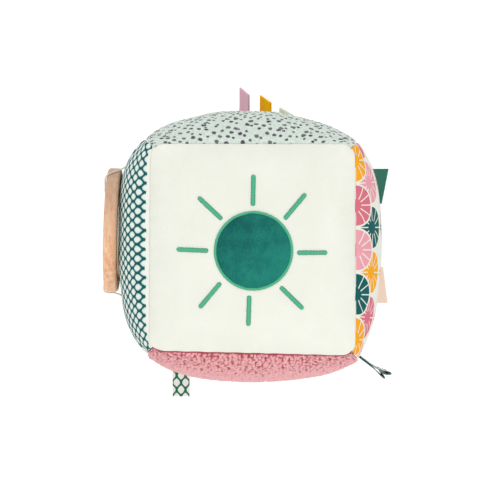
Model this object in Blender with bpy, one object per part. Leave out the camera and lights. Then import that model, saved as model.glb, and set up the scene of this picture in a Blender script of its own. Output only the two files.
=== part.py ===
"""A baby's soft activity cube, put together as it is sewn: six crowned panels whose seam
allowances are turned in, a fibre filling in two halves round a rattle, an embroidered sun,
a wooden ring in two thread loops, and folded ribbon tabs in the seams of the back panel.

The block lies on its back panel. +Z points up, to the sun panel, +Y to the dotted panel and
+X to the scallop panel. The origin is the middle of the flat patch that the block rests on.
Lengths are in metres."""

import math
from dataclasses import dataclass

import bmesh
import bpy
import numpy as np

# Driving dimensions: the block from seam to seam
seam_width = 0.1114
seam_height = 0.1148
seam_depth = 0.1130

# Between pieces that touch on the real block
clearance = 0.0003

# Points closer than this are one point
weld = 0.000001

# Height of each panel's crown above the plane of its seams
sun_crown = 0.0165
back_crown = 0.0176
dotted_crown = 0.0168
teddy_crown = 0.0143
net_crown = 0.0165
scallop_crown = 0.0139

# How far the upright seams swell out half-way up, along X and Y alike
seam_swell = 0.0044
corner_swell_shares = {(-1, 1): 1.0, (1, 1): 0.6, (-1, -1): 0.57, (1, -1): 0.73}

# How a crown falls to its rim: the power of the distance from the panel's middle
crown_power = 1.6

# The corners, where three seams meet, are drawn in towards the middle, and this far from each
corner_draw = 0.0024
corner_reach = 0.0110

# Thickness of each kind of cloth with its lining
velvet_cloth = 0.0015
plush_cloth = 0.0020
fleece_cloth = 0.0040
cotton_cloth = 0.0010

# Seam allowances, which turn in towards the middle of the block
seam_allowance = 0.0060
allowance_cloth = 0.0012

# The back crown is pressed flat where the block rests
rest_cut = 0.0016

# The front corners came out a little off square, as shares of half the width and height
front_corner_shares = {
    (-1, 1): (-1.002, 1.003),
    (1, 1): (1.009, 1.000),
    (-1, -1): (-1.016, -0.969),
    (1, -1): (1.013, -1.017),
}

half_sizes = np.array([seam_width, seam_height, seam_depth]) / 2
middle = np.array([0, 0, back_crown - rest_cut + seam_depth / 2])
up_axis = np.array([0.0, 0.0, 1.0])

cream = (0.86, 0.87, 0.80)
mint = (0.58, 0.74, 0.68)
pink = (0.79, 0.35, 0.35)
white = (0.85, 0.87, 0.83)
mustard = (0.95, 0.43, 0.02)
dark_teal = (0.02, 0.16, 0.13)
stitch_green = (0.11, 0.52, 0.33)
beech = (0.78, 0.47, 0.28)
thread_cream = (0.80, 0.80, 0.70)
mauve = (0.53, 0.34, 0.41)
leaf_green = (0.04, 0.18, 0.13)
peach = (0.91, 0.74, 0.61)
fibre_white = (0.90, 0.90, 0.88)
rattle_blue = (0.20, 0.42, 0.60)
bead_steel = (0.60, 0.60, 0.62)


def new_material(name, colour, roughness, metallic=0.0):
    material = bpy.data.materials.new(name)
    material.use_nodes = True
    shader = material.node_tree.nodes["Principled BSDF"]
    shader.inputs["Base Color"].default_value = (*colour, 1)
    shader.inputs["Roughness"].default_value = roughness
    shader.inputs["Metallic"].default_value = metallic
    return material


def add_solid(name, points, faces, material, origin=(0, 0, 0)):
    """One object from world points: doubles merged, faces outwards, smooth except at sharp edges."""
    mesh = bpy.data.meshes.new(name)
    mesh.from_pydata((np.asarray(points) - np.asarray(origin)).tolist(), [], faces)
    shape = bmesh.new()
    shape.from_mesh(mesh)
    bmesh.ops.remove_doubles(shape, verts=shape.verts, dist=weld)
    if shape.calc_volume(signed=True) < 0:
        bmesh.ops.reverse_faces(shape, faces=shape.faces)
    shape.to_mesh(mesh)
    shape.free()
    mesh.shade_smooth()
    mesh.set_sharp_from_angle(angle=math.radians(40))
    mesh.materials.append(material)
    solid = bpy.data.objects.new(name, mesh)
    solid.location = origin
    bpy.context.collection.objects.link(solid)
    return solid


def grid_faces(rows, columns, start=0):
    """Quads of a grid of points that are numbered row by row."""
    return [
        (
            start + row * columns + column,
            start + (row + 1) * columns + column,
            start + (row + 1) * columns + column + 1,
            start + row * columns + column + 1,
        )
        for row in range(rows - 1)
        for column in range(columns - 1)
    ]


def add_tube(name, rings, closed, material, origin=(0, 0, 0)):
    """A solid through rings of points. It closes on itself, or has a flat face at each end."""
    count, size, _ = rings.shape
    faces = [
        (
            ring * size + side,
            ring * size + (side + 1) % size,
            (ring + 1) % count * size + (side + 1) % size,
            (ring + 1) % count * size + side,
        )
        for ring in range(count if closed else count - 1)
        for side in range(size)
    ]
    if not closed:
        faces += [tuple(range(size))[::-1], tuple(range((count - 1) * size, count * size))]
    return add_solid(name, rings.reshape(-1, 3), faces, material, origin)


@dataclass
class Panel:
    """A crowned square of cloth. Its axes are unit vectors, and across x up = out. Fullness, across
    and up, says how flat the crown's middle and how steep its rim is. The crown grows by its lean
    towards the edge that across points at, and is cut off flat by its cut."""

    name: str
    across: tuple
    up: tuple
    out: tuple
    crown: float
    cloth: float
    fullness: tuple
    lean: float = 0.0
    cut: float = 0.0


def block_corner(signs):
    """Where three seams meet, in world coordinates. Signs are -1 or 1 along X, Y and Z."""
    x, y, z = (int(sign) for sign in signs)
    share_x, share_y = front_corner_shares[x, y] if z > 0 else (x, y)
    return middle + half_sizes * np.array([share_x, share_y, z])


def swollen_corner(signs, height):
    """A corner of the block, moved out with its upright seam's swell * (1 - height^2)."""
    share = corner_swell_shares[int(signs[0]), int(signs[1])]
    swell = seam_swell * share * (1 - height**2)
    return block_corner(signs) + swell * np.array([signs[0], signs[1], 0])


def smooth_step(share):
    share = np.clip(share, 0, 1)
    return share * share * (3 - 2 * share)


def crown_share(distance, fullness):
    """From 1 in the middle to 0 at the seam: (1 - e^(-f * (1 - |t|^p))) / (1 - e^-f)."""
    return (1 - np.exp(-fullness * (1 - abs(distance) ** crown_power))) / (1 - np.exp(-fullness))


def panel_points(panel, u, v, sink):
    """The square between the panel's four corners, lifted along its outward axis by
    crown * (1 + lean * u) * crown_share(u) * crown_share(v), then moved straight towards the
    block's middle by sink, and by corner_draw * smooth_step(1 - distance / corner_reach) near a
    corner. u and v run from -1 to 1 between the seams."""
    u, v, sink = (np.asarray(part)[..., None] for part in np.broadcast_arrays(u, v, sink))
    across, up, out = (np.array(axis) for axis in (panel.across, panel.up, panel.out))
    height = out[2] + u * across[2] + v * up[2]
    ends = [(side, end) for side in (-1, 1) for end in (-1, 1)]
    square = sum(
        swollen_corner(out + side * across + end * up, height) * (1 + side * u) * (1 + end * v) / 4
        for side, end in ends
    )
    share = crown_share(u, panel.fullness[0]) * crown_share(v, panel.fullness[1])
    lift = panel.crown * (1 + panel.lean * u) * share
    points = square + out * np.minimum(lift, panel.crown - panel.cut)
    for side, end in ends:
        away = points - block_corner(out + side * across + end * up)
        distance = np.linalg.norm(away, axis=-1, keepdims=True)
        sink = sink + corner_draw * smooth_step(1 - distance / corner_reach)
    inward = middle - points
    return points + sink * inward / np.linalg.norm(inward, axis=-1, keepdims=True)


def on_panel(panel, x, y, lift):
    """A point of the panel by its distances from the block's middle, along the panel's axes, and
    lifted off the cloth. The panel isn't quite square, so a first guess is corrected three times."""
    across, up = np.array(panel.across), np.array(panel.up)
    half_across, half_up = abs(across @ half_sizes), abs(up @ half_sizes)
    u, v = np.asarray(x) / half_across, np.asarray(y) / half_up
    for _ in range(3):
        found = panel_points(panel, u, v, 0.0) - middle
        u = u + (x - found @ across) / half_across
        v = v + (y - found @ up) / half_up
    return panel_points(panel, u, v, -np.asarray(lift))


# Where the crowned cloth has its grid lines, as shares of half a panel
crown_line_shares = (0.26, 0.48, 0.66, 0.81, 0.92)


def mirrored(shares):
    """The shares on both sides of the middle line, from edge to edge."""
    return np.array([-share for share in reversed(shares)] + [0.0] + list(shares))


def cloth_lines(panel, axis):
    """Grid lines along one axis: the allowance's two lines, the crown's lines and their mirror.
    The allowance's inner line is doubled, for the step from the cloth to the turned-in edge."""
    half = abs(np.dot(axis, half_sizes))
    edge = 1 - clearance / 2 / half
    lip = edge - allowance_cloth / half
    return mirrored([*crown_line_shares, lip, lip, edge])


def add_panel(panel, material):
    """The panel's cloth as a closed sheet: outer and inner skin, joined at the turned-in edges."""
    across, up = (cloth_lines(panel, axis) for axis in (panel.across, panel.up))
    size = len(across)
    turned = np.isin(np.arange(size), [0, 1, size - 2, size - 1])
    sink = panel.cloth + seam_allowance * (turned[:, None] | turned[None, :])
    outer = panel_points(panel, across[:, None], up[None, :], 0.0)
    inner = panel_points(panel, across[:, None], up[None, :], sink)
    points = np.concatenate([outer.reshape(-1, 3), inner.reshape(-1, 3)])
    last = size - 1
    rim = [(step, 0) for step in range(last)] + [(last, step) for step in range(last)]
    rim += [(last - step, last) for step in range(last)] + [(0, last - step) for step in range(last)]
    top = [row * size + column for row, column in rim]
    faces = grid_faces(size, size)
    faces += [face[::-1] for face in grid_faces(size, size, size * size)]
    for first, second in zip(top, top[1:] + top[:1]):
        faces.append((second, first, first + size * size, second + size * size))
    return add_solid(panel.name, points, faces, material)


# Clear the startup scene
for item in list(bpy.data.objects):
    bpy.data.objects.remove(item, do_unlink=True)

# The six panels
sun_panel = Panel("sun_panel", (1, 0, 0), (0, 1, 0), (0, 0, 1), sun_crown, velvet_cloth, (2.0, 2.0))
back_panel = Panel(
    "back_panel", (-1, 0, 0), (0, 1, 0), (0, 0, -1), back_crown, velvet_cloth, (2.0, 2.0), 0.0, rest_cut
)
dotted_panel = Panel(
    "dotted_panel", (1, 0, 0), (0, 0, -1), (0, 1, 0), dotted_crown, plush_cloth, (1.3, 3.0), -0.03
)
teddy_panel = Panel(
    "teddy_panel", (1, 0, 0), (0, 0, 1), (0, -1, 0), teddy_crown, fleece_cloth, (2.1, 3.0), -0.08
)
net_panel = Panel(
    "net_panel", (0, -1, 0), (0, 0, 1), (-1, 0, 0), net_crown, cotton_cloth, (2.7, 3.0), -0.04
)
scallop_panel = Panel(
    "scallop_panel", (0, 1, 0), (0, 0, 1), (1, 0, 0), scallop_crown, cotton_cloth, (1.9, 3.0), 0.15
)
panels = [sun_panel, back_panel, dotted_panel, teddy_panel, net_panel, scallop_panel]

velvet = new_material("velvet", cream, 0.9)
panel_materials = [
    velvet,
    velvet,
    new_material("plush", mint, 0.95),
    new_material("fleece", pink, 1.0),
    new_material("net_cotton", white, 0.8),
    new_material("scallop_cotton", mustard, 0.8),
]
for panel, panel_material in zip(panels, panel_materials):
    add_panel(panel, panel_material)

# The rattle's ball, in the middle of the filling
rattle_radius = 0.0140
rattle_wall = 0.0016
rattle_lip = 0.0015
rattle_steps = 20
bead_radius = 0.0020
bead_count = 5
bead_circle = 0.0042

# The filling: it keeps clear of the cloth and, in a groove along each seam, of the allowances
filling_clearance = 0.0008


def filling_points(panel):
    """The panel's grid, sunk under its cloth, and sunk to the allowances' tips along the seams."""
    lines = mirrored([*crown_line_shares, 1.0])
    groove = abs(lines) >= crown_line_shares[-1]
    deep = fleece_cloth + seam_allowance + filling_clearance
    shallow = panel.cloth + filling_clearance
    sink = np.where(groove[:, None] | groove[None, :], deep, shallow)
    return panel_points(panel, lines[:, None], lines[None, :], sink)


def add_filling_half(name, side, pocket, material):
    """Half of the filling, on the front (side 1) or back (side -1) of the block's middle plane."""
    grids = [filling_points(panel) for panel in panels]
    size = grids[0].shape[0]
    points = np.concatenate([grid.reshape(-1, 3) for grid in grids])
    faces = [face for index in range(6) for face in grid_faces(size, size, index * size * size)]
    half = add_solid(name, points, faces, material)
    shape = bmesh.new()
    shape.from_mesh(half.data)
    cut = bmesh.ops.bisect_plane(
        shape,
        geom=shape.verts[:] + shape.edges[:] + shape.faces[:],
        dist=weld,
        plane_co=middle + side * clearance / 2 * up_axis,
        plane_no=up_axis * side,
        clear_inner=True,
    )
    rim = [item for item in cut["geom_cut"] if isinstance(item, bmesh.types.BMEdge)]
    bmesh.ops.holes_fill(shape, edges=rim)
    bmesh.ops.recalc_face_normals(shape, faces=shape.faces)
    shape.to_mesh(half.data)
    shape.free()
    hollow = half.modifiers.new("rattle pocket", "BOOLEAN")
    hollow.object = pocket
    hollow.solver = "EXACT"


def add_ball(name, radius, material, detail):
    mesh = bpy.data.meshes.new(name)
    shape = bmesh.new()
    bmesh.ops.create_icosphere(shape, subdivisions=detail, radius=radius)
    shape.to_mesh(mesh)
    shape.free()
    mesh.shade_smooth()
    mesh.materials.append(material)
    ball = bpy.data.objects.new(name, mesh)
    bpy.context.collection.objects.link(ball)
    return ball


filling_material = new_material("fibre", fibre_white, 1.0)
pocket = add_ball("rattle_pocket", rattle_radius + clearance, filling_material, 3)
pocket.location = middle
pocket.scale = (1.02, 1.02, 1.02)
pocket.hide_render = True
pocket.display_type = "WIRE"
add_filling_half("filling_front", 1, pocket, filling_material)
add_filling_half("filling_back", -1, pocket, filling_material)


def turned(profile, steps, place):
    """Rings of points for add_tube: a closed profile of (radius, height) points, carried round an
    axis. place turns arrays of radius, angle and height into world points."""
    radius, height = np.array(profile).T
    angle = np.arange(steps) * 2 * math.pi / steps
    return place(radius[None, :], angle[:, None], height[None, :])


def about_middle(radius, angle, height):
    """Round an upright axis through the block's middle."""
    offset = np.broadcast_arrays(radius * np.cos(angle), radius * np.sin(angle), height)
    return middle + np.stack(offset, axis=-1)


def arc(radius, start, end, count):
    """Points of (radius, height) on an arc from start to end, in degrees above the equator."""
    return [
        (radius * math.cos(math.radians(turn)), radius * math.sin(math.radians(turn)))
        for turn in np.linspace(start, end, count)
    ]


# The cup's thin lip stands up inside the lid's rebate
hollow_radius = rattle_radius - rattle_wall
lip_outer = hollow_radius + (rattle_wall - clearance) / 2
rebate = lip_outer + clearance
cup_profile = arc(rattle_radius, -90, 0, 6) + [(lip_outer, 0), (lip_outer, rattle_lip)]
cup_profile += [(hollow_radius, rattle_lip)] + arc(hollow_radius, 0, -90, 5)
lid_profile = [(rattle_radius, clearance)] + arc(rattle_radius, 15, 90, 5)
lid_profile += arc(hollow_radius, 90, 18, 5) + [
    (hollow_radius, rattle_lip + clearance),
    (rebate, rattle_lip + clearance),
    (rebate, clearance),
]
rattle_plastic = new_material("rattle_plastic", rattle_blue, 0.4)
add_tube("rattle_cup", turned(cup_profile, rattle_steps, about_middle), True, rattle_plastic)
add_tube("rattle_lid", turned(lid_profile, rattle_steps, about_middle), True, rattle_plastic)


def add_beads(material):
    """A ring of loose beads, resting low in the rattle's hollow."""
    seat = hollow_radius - bead_radius - clearance
    drop = math.sqrt(seat**2 - bead_circle**2)
    for index in range(bead_count):
        turn = index * 2 * math.pi / bead_count
        bead = add_ball(f"rattle_bead_{index + 1}", bead_radius, material, 1)
        bead.location = middle + [bead_circle * math.cos(turn), bead_circle * math.sin(turn), -drop]


add_beads(new_material("bead_steel", bead_steel, 0.3, 1.0))

# The embroidered sun
sun_radius = 0.0213
border_width = 0.0018
ray_width = 0.0025
stitch_height = 0.0009
disc_cloth = 0.0008
ray_start = 0.0243
ray_end = 0.0406
sun_across = 0.0006
sun_up = -0.0010
border_steps = 40

# How far each ray's inner and outer end lie off its eighth of the circle, in degrees, from the
# uppermost ray clockwise: they are drawn by hand
ray_turns = (
    (0.9, 0.1),
    (0.8, 2.6),
    (-2.6, -1.4),
    (-8.4, -4.6),
    (-5.6, -4.0),
    (-1.0, 1.5),
    (-0.1, -1.1),
    (0.2, 0.9),
)


def on_sun(radius, angle, height):
    """A point of the sun panel by its distance and direction from the sun's centre."""
    x, y, lift = np.broadcast_arrays(
        sun_across + radius * np.cos(angle), sun_up + radius * np.sin(angle), clearance + height
    )
    return on_panel(sun_panel, x, y, lift)


def stitch_section(half_width, height, count=5):
    """Satin stitches across a bar: a half ellipse of (side, height) points over the cloth."""
    turn = np.linspace(0, math.pi, count)
    return half_width * np.cos(turn), height * np.sin(turn)


disc_radius = sun_radius - border_width - clearance
disc_profile = [
    (0.0, 0.0),
    (disc_radius / 2, 0.0),
    (disc_radius, 0.0),
    (disc_radius, disc_cloth / 2),
    (disc_radius - disc_cloth / 2, disc_cloth),
    (disc_radius / 2, disc_cloth),
    (0.0, disc_cloth),
]
disc_velvet = new_material("disc_velvet", dark_teal, 0.9)
add_tube("sun_disc", turned(disc_profile, border_steps, on_sun), True, disc_velvet)

stitches = new_material("satin_stitch", stitch_green, 0.45)
border_side, border_height = stitch_section(border_width / 2, stitch_height)
border_profile = list(zip(sun_radius - border_width / 2 + border_side, border_height))
add_tube("sun_border", turned(border_profile, border_steps, on_sun), True, stitches)

# How far the stations of a bar lie from its ends, as shares of half its width
bar_end_shares = (0.0, 0.13, 0.5, 1.0)


def around(radius, angle):
    return radius * np.array([math.cos(angle), math.sin(angle)])


def add_ray(name, start, end, material):
    """A bar of satin stitches with round ends, between two points given from the sun's centre."""
    half = ray_width / 2
    end_distance = [share * half for share in bar_end_shares]
    length = math.dist(start, end)
    inner = [length * share for share in (1 / 3, 2 / 3)]
    along = np.array(end_distance + inner + [length - distance for distance in reversed(end_distance)])
    end_share = np.clip(np.minimum(along, length - along) / half, 0, 1)
    round_share = np.sqrt(1 - (1 - end_share) ** 2)
    side, height = stitch_section(half, stitch_height)
    side = round_share[:, None] * side
    height = round_share[:, None] * height
    ahead = (end - start) / length
    x = start[0] + along[:, None] * ahead[0] - side * ahead[1]
    y = start[1] + along[:, None] * ahead[1] + side * ahead[0]
    return add_tube(name, on_sun(np.hypot(x, y), np.arctan2(y, x), height), False, material)


for ray, (inner_turn, outer_turn) in enumerate(ray_turns):
    eighth = math.pi / 2 - ray * 2 * math.pi / len(ray_turns)
    ray_foot = around(ray_start, eighth + math.radians(inner_turn))
    ray_tip = around(ray_end, eighth + math.radians(outer_turn))
    add_ray(f"sun_ray_{ray + 1}", ray_foot, ray_tip, stitches)

# The wooden ring, edge-on to the front, leaning out a little at its lower end
ring_diameter = 0.0700
ring_wood = 0.0100
ring_thickness = 0.0075
ring_round = 0.0017
ring_lean = math.radians(1.8)
ring_steps = 40

# Where the ring hangs: towards the dotted panel, as a share of half the block, and on the net
# panel, whose crown stands this far into the ring's hole
ring_up_share = 0.1864
ring_sink = 0.00170

ring_hole = ring_diameter - 2 * ring_wood
ring_up = ring_up_share * seam_height / 2
ring_out = seam_width / 2 + seam_swell + net_crown + ring_thickness / 2 - ring_sink

ring_centre = middle + np.array([-ring_out, ring_up, 0])
ring_axis = np.array([-math.cos(ring_lean), math.sin(ring_lean), 0])
ring_rise = np.array([math.sin(ring_lean), math.cos(ring_lean), 0])


def about_ring(radius, angle, height):
    """A point by its distance from the ring's axis, its angle from the ring's upper end towards
    the front, and its distance out along the axis."""
    rise, front, out = np.broadcast_arrays(radius * np.cos(angle), radius * np.sin(angle), height)
    parts = rise[..., None] * ring_rise + front[..., None] * up_axis + out[..., None] * ring_axis
    return ring_centre + parts


def rounded_section(low, high, half_height, rounding, count=4):
    """A rectangle with round corners, as a closed profile of (radius, height) points."""
    corners = [(high, 1, 0), (low, 1, 90), (low, -1, 180), (high, -1, 270)]
    points = []
    for side, end, start in corners:
        centre = side - rounding if side == high else side + rounding
        for turn in np.radians(np.linspace(start, start + 90, count)):
            points.append(
                (
                    centre + rounding * math.cos(turn),
                    end * (half_height - rounding) + rounding * math.sin(turn),
                )
            )
    return points


ring_profile = rounded_section(ring_hole / 2, ring_diameter / 2, ring_thickness / 2, ring_round)
wood = new_material("beech", beech, 0.55)
add_tube("wooden_ring", turned(ring_profile, ring_steps, about_ring), True, wood, ring_centre)

# The thread loops that hold the ring at its two ends
loop_thread = 0.0012
loop_slack = 0.0005
loop_foot_outside = 0.0030
loop_foot_inside = 0.0028
loop_samples = 4

# Where each loop leaves the panel outside the ring, and where it crosses the ring, from the
# ring's upper end: the upper loop crosses it at a slant
upper_loop_angles = (math.radians(13), math.radians(29))
lower_loop_angles = (math.radians(182), math.radians(182))
loop_slant_shares = (0.0, 0.35, 0.65, 0.9, 1.0, 1.0, 1.0, 1.0)


def smooth_route(points, samples):
    """A Catmull-Rom curve through the points."""
    points = np.array(points)
    ends = np.concatenate([[2 * points[0] - points[1]], points, [2 * points[-1] - points[-2]]])
    route = []
    for before, start, end, after in zip(ends, ends[1:], ends[2:], ends[3:]):
        for step in np.arange(samples) / samples:
            route.append(
                (
                    2 * start
                    + (end - before) * step
                    + (2 * before - 5 * start + 4 * end - after) * step**2
                    + (3 * start - before - 3 * end + after) * step**3
                )
                / 2
            )
    return route + [points[-1]]


def foot_on_net(radius, angle):
    """Where a loop meets the net panel, at this distance from the ring's axis."""
    flat = about_ring(radius, angle, 0.0) - middle
    return on_panel(net_panel, -flat[1], flat[2], loop_thread / 2 + clearance)


def add_ring_loop(name, angles, material):
    """A thread sewn to the panel, up outside the ring, over it, and down through its hole."""
    gap = loop_thread / 2 + loop_slack
    rim, hole = ring_diameter / 2, ring_hole / 2
    half = ring_thickness / 2
    turns = [angles[0] + (angles[1] - angles[0]) * share for share in loop_slant_shares]
    over_ring = [
        (rim + gap + loop_slack, -half / 3),
        (rim + gap, half / 2),
        (rim - ring_round / 4, half + gap * 0.8),
        ((rim + hole) / 2, half + gap),
        (hole + ring_round / 4, half + gap * 0.8),
        (hole - gap, half / 2),
    ]
    route = [about_ring(radius, turn, height) for (radius, height), turn in zip(over_ring, turns[1:])]
    route.insert(0, foot_on_net(rim + loop_foot_outside, turns[0]))
    route.append(foot_on_net(hole - loop_foot_inside, turns[-1]))
    points = smooth_route(route, loop_samples)
    curve = bpy.data.curves.new(name, "CURVE")
    curve.dimensions = "3D"
    curve.bevel_depth = loop_thread / 2
    curve.bevel_resolution = 2
    curve.use_fill_caps = True
    line = curve.splines.new("POLY")
    line.points.add(len(points) - 1)
    for target, point in zip(line.points, points):
        target.co = (*(point - ring_centre), 1)
    curve.materials.append(material)
    loop = bpy.data.objects.new(name, curve)
    loop.location = ring_centre
    bpy.context.collection.objects.link(loop)


thread = new_material("thread", thread_cream, 0.8)
add_ring_loop("upper_ring_loop", upper_loop_angles, thread)
add_ring_loop("lower_ring_loop", lower_loop_angles, thread)

# Ribbon tabs, folded in two and sewn into the back seams
ribbon_thickness = 0.0005
fold_gap = 0.0005
tab_root = 0.0008
tab_bend = 0.0140
tab_start = math.radians(-45)
twist_share = 0.7
narrow_ribbon = 0.0115
net_ribbon = 0.0100
broad_ribbon = 0.0215

# How far each tab stands out of its seam
mauve_length = 0.0388
mustard_length = 0.0338
mint_length = 0.0262
green_length = 0.0240
peach_length = 0.0240
net_tab_length = 0.0308


@dataclass
class Tab:
    """A folded ribbon. side is the direction in which it points, and place_share is its place along
    its seam, from -1 to 1. It leaves the seam downwards, curves up to its lift, and turns about
    its own length by its twist, over twist_share of it. skew is how much longer it is at its second
    edge."""

    name: str
    side: tuple
    place_share: float
    width: float
    length: float
    lift: float
    twist: float
    skew: float
    material: object


def tab_seat(tab):
    """The point of the seam that the tab is sewn into."""
    side = np.array([*tab.side, 0.0])
    along_seam = np.cross(side, up_axis)
    return middle + half_sizes * (side - up_axis + tab.place_share * along_seam)


def hairpin(length):
    """Stations of (along, lift) on a ribbon's middle line, out, round the fold and back, with the
    direction of its outer side there."""
    half_gap = (ribbon_thickness + fold_gap) / 2
    out = [(along, half_gap, 0.0, 1.0) for along in np.linspace(tab_root, length, 9)]
    fold = [
        (length + half_gap * math.sin(turn), half_gap * math.cos(turn), math.sin(turn), math.cos(turn))
        for turn in np.linspace(0, math.pi, 6)[1:-1]
    ]
    back = [(along, -half_gap, 0.0, -1.0) for along in np.linspace(length, tab_root, 9)]
    return np.array(out + fold + back)


def tab_points(tab, along, lift, side):
    """Carries points given along the tab, off its middle line and across it onto the tab's path:
    its direction climbs from tab_start to the tab's lift within tab_bend, then stays."""
    outward = np.array([*tab.side, 0.0]) / np.hypot(*tab.side)
    width_axis = np.cross(outward, up_axis)
    along = along * (1 + tab.skew * side / tab.length)
    climb = np.clip(along / tab_bend, 0, 1)
    turn = tab.lift - tab_start
    direction = tab_start + turn * climb
    radius = tab_bend / turn
    straight = np.maximum(along - tab_bend, 0)
    reach = radius * (np.sin(direction) - math.sin(tab_start)) + straight * math.cos(tab.lift)
    rise = radius * (math.cos(tab_start) - np.cos(direction)) + straight * math.sin(tab.lift)
    normal = (
        -np.sin(direction)[..., None] * outward + np.cos(direction)[..., None] * up_axis
    )
    twist = tab.twist * smooth_step((along - tab_root) / (tab.length * twist_share))
    sideways = side * np.cos(twist) - lift * np.sin(twist)
    upwards = side * np.sin(twist) + lift * np.cos(twist)
    return (
        tab_seat(tab)
        + reach[..., None] * outward
        + rise[..., None] * up_axis
        + sideways[..., None] * width_axis
        + upwards[..., None] * normal
    )


def add_tab(tab):
    """The ribbon's section carried along its hairpin."""
    along, lift, out_along, out_lift = (column[:, None] for column in hairpin(tab.length).T)
    side = np.array([-0.5, 0.5, 0.5, -0.5]) * tab.width
    face = np.array([0.5, 0.5, -0.5, -0.5]) * ribbon_thickness
    rings = tab_points(
        tab,
        *np.broadcast_arrays(along + face * out_along, lift + face * out_lift, side[None, :]),
    )
    return add_tube(tab.name, rings, False, tab.material, tab_seat(tab))


net_ribbon_material = new_material("net_ribbon", white, 0.7)
top_lift = math.radians(29)
tabs = [
    Tab(
        "mauve_tab", (0, 1), -0.079, narrow_ribbon, mauve_length, top_lift, math.radians(64), 0.0,
        new_material("mauve_ribbon", mauve, 0.6),
    ),
    Tab(
        "mustard_tab", (0, 1), 0.1436, narrow_ribbon, mustard_length, top_lift, math.radians(59), 0.0,
        new_material("mustard_ribbon", mustard, 0.6),
    ),
    Tab(
        "mint_tab", (0, 1), 0.359, narrow_ribbon, mint_length, top_lift, math.radians(53), 0.0,
        new_material("mint_ribbon", mint, 0.6),
    ),
    Tab(
        "green_tab", (1, 0), -0.6446, broad_ribbon, green_length, math.radians(20), math.radians(18),
        -0.1, new_material("green_ribbon", leaf_green, 0.6),
    ),
    Tab(
        "peach_tab", (1, 0), 0.3746, broad_ribbon, peach_length, math.radians(10), math.radians(-12),
        0.1, new_material("peach_ribbon", peach, 0.6),
    ),
    Tab(
        "net_tab", (0, -1), 0.754, net_ribbon, net_tab_length, math.radians(4), 0.0, 0.0,
        net_ribbon_material,
    ),
]
for tab in tabs:
    add_tab(tab)

# The corner tab stands on edge, sewn into the upright seam just above the back corner. Its
# folded end is pushed in between two lobes. The route gives the ribbon's middle line from above,
# as shares of the tab's length out of the seam and towards the scallop panel.
corner_tab_length = 0.0290
corner_tab_rise = 0.0035
corner_tab_side = (0.8, -0.6)
corner_route_shares = (
    (0.028, -0.019),
    (0.28, -0.019),
    (0.58, -0.021),
    (0.80, -0.050),
    (0.925, -0.078),
    (0.945, -0.050),
    (0.905, -0.018),
    (0.862, 0.010),
    (0.905, 0.040),
    (0.970, 0.072),
    (1.000, 0.112),
    (0.960, 0.136),
    (0.83, 0.092),
    (0.70, 0.046),
    (0.56, 0.021),
    (0.28, 0.019),
    (0.028, 0.019),
)


def upright_seam(height):
    """The point of the corner's upright seam at this height above the floor, from its lowest point
    to its highest, and drawn in as the panels are."""
    share = (height - middle[2]) / half_sizes[2]
    return panel_points(scallop_panel, np.full(np.shape(share), -1.0), share, 0.0)


def add_corner_tab(name, material):
    """The ribbon's section carried along the route, with its two edges at their own heights."""
    outward = np.array([*corner_tab_side, 0.0])
    aside = np.cross(up_axis, outward)
    flat = np.array(smooth_route(corner_route_shares, 3)) * corner_tab_length
    ahead = np.gradient(flat, axis=0)
    ahead = ahead / np.linalg.norm(ahead, axis=1)[:, None]
    face = np.stack([-ahead[:, 1], ahead[:, 0]], axis=1) * ribbon_thickness / 2
    low = middle[2] - half_sizes[2] + corner_tab_rise
    seats = upright_seam(np.array([low, low + net_ribbon]))
    rings = np.stack(
        [
            seats[end] + np.outer(flat[:, 0] + side * face[:, 0], outward)
            + np.outer(flat[:, 1] + side * face[:, 1], aside)
            for side, end in ((1, 0), (1, 1), (-1, 1), (-1, 0))
        ],
        axis=1,
    )
    return add_tube(name, rings, False, material, seats[0])


add_corner_tab("corner_tab", net_ribbon_material)
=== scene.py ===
"""A baby's soft activity cube, dressed for the photograph: cloth panels with their nap, prints and
turned seams, an embroidered sun, a wooden ring in twisted thread loops, and folded ribbon tabs.

The block lies on its back panel, and the camera looks straight down at the sun panel. +Y is the
dotted panel's side and +X the scallop panel's. Lengths are in metres."""

import math
from dataclasses import dataclass

import bmesh
import bpy
import numpy as np
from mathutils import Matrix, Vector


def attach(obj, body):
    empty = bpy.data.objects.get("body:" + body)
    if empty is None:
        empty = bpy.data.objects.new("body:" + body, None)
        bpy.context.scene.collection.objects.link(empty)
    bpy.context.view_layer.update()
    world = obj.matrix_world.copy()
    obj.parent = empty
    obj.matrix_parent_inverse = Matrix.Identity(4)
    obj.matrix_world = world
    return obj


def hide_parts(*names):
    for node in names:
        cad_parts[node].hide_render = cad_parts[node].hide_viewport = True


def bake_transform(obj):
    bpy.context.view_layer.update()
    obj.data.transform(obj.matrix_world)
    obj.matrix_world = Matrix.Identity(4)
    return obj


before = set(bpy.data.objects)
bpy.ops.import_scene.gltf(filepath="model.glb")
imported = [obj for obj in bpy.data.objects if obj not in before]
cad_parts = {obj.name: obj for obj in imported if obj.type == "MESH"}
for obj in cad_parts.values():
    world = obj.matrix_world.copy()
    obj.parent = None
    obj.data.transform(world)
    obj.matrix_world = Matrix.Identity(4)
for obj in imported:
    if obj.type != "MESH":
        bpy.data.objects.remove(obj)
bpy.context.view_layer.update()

# The studio: a white floor that the block lies on, a broad lamp beyond the dotted panel, a stronger
# one on the near side, and the camera straight above, turned with the dotted panel upwards.


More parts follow.
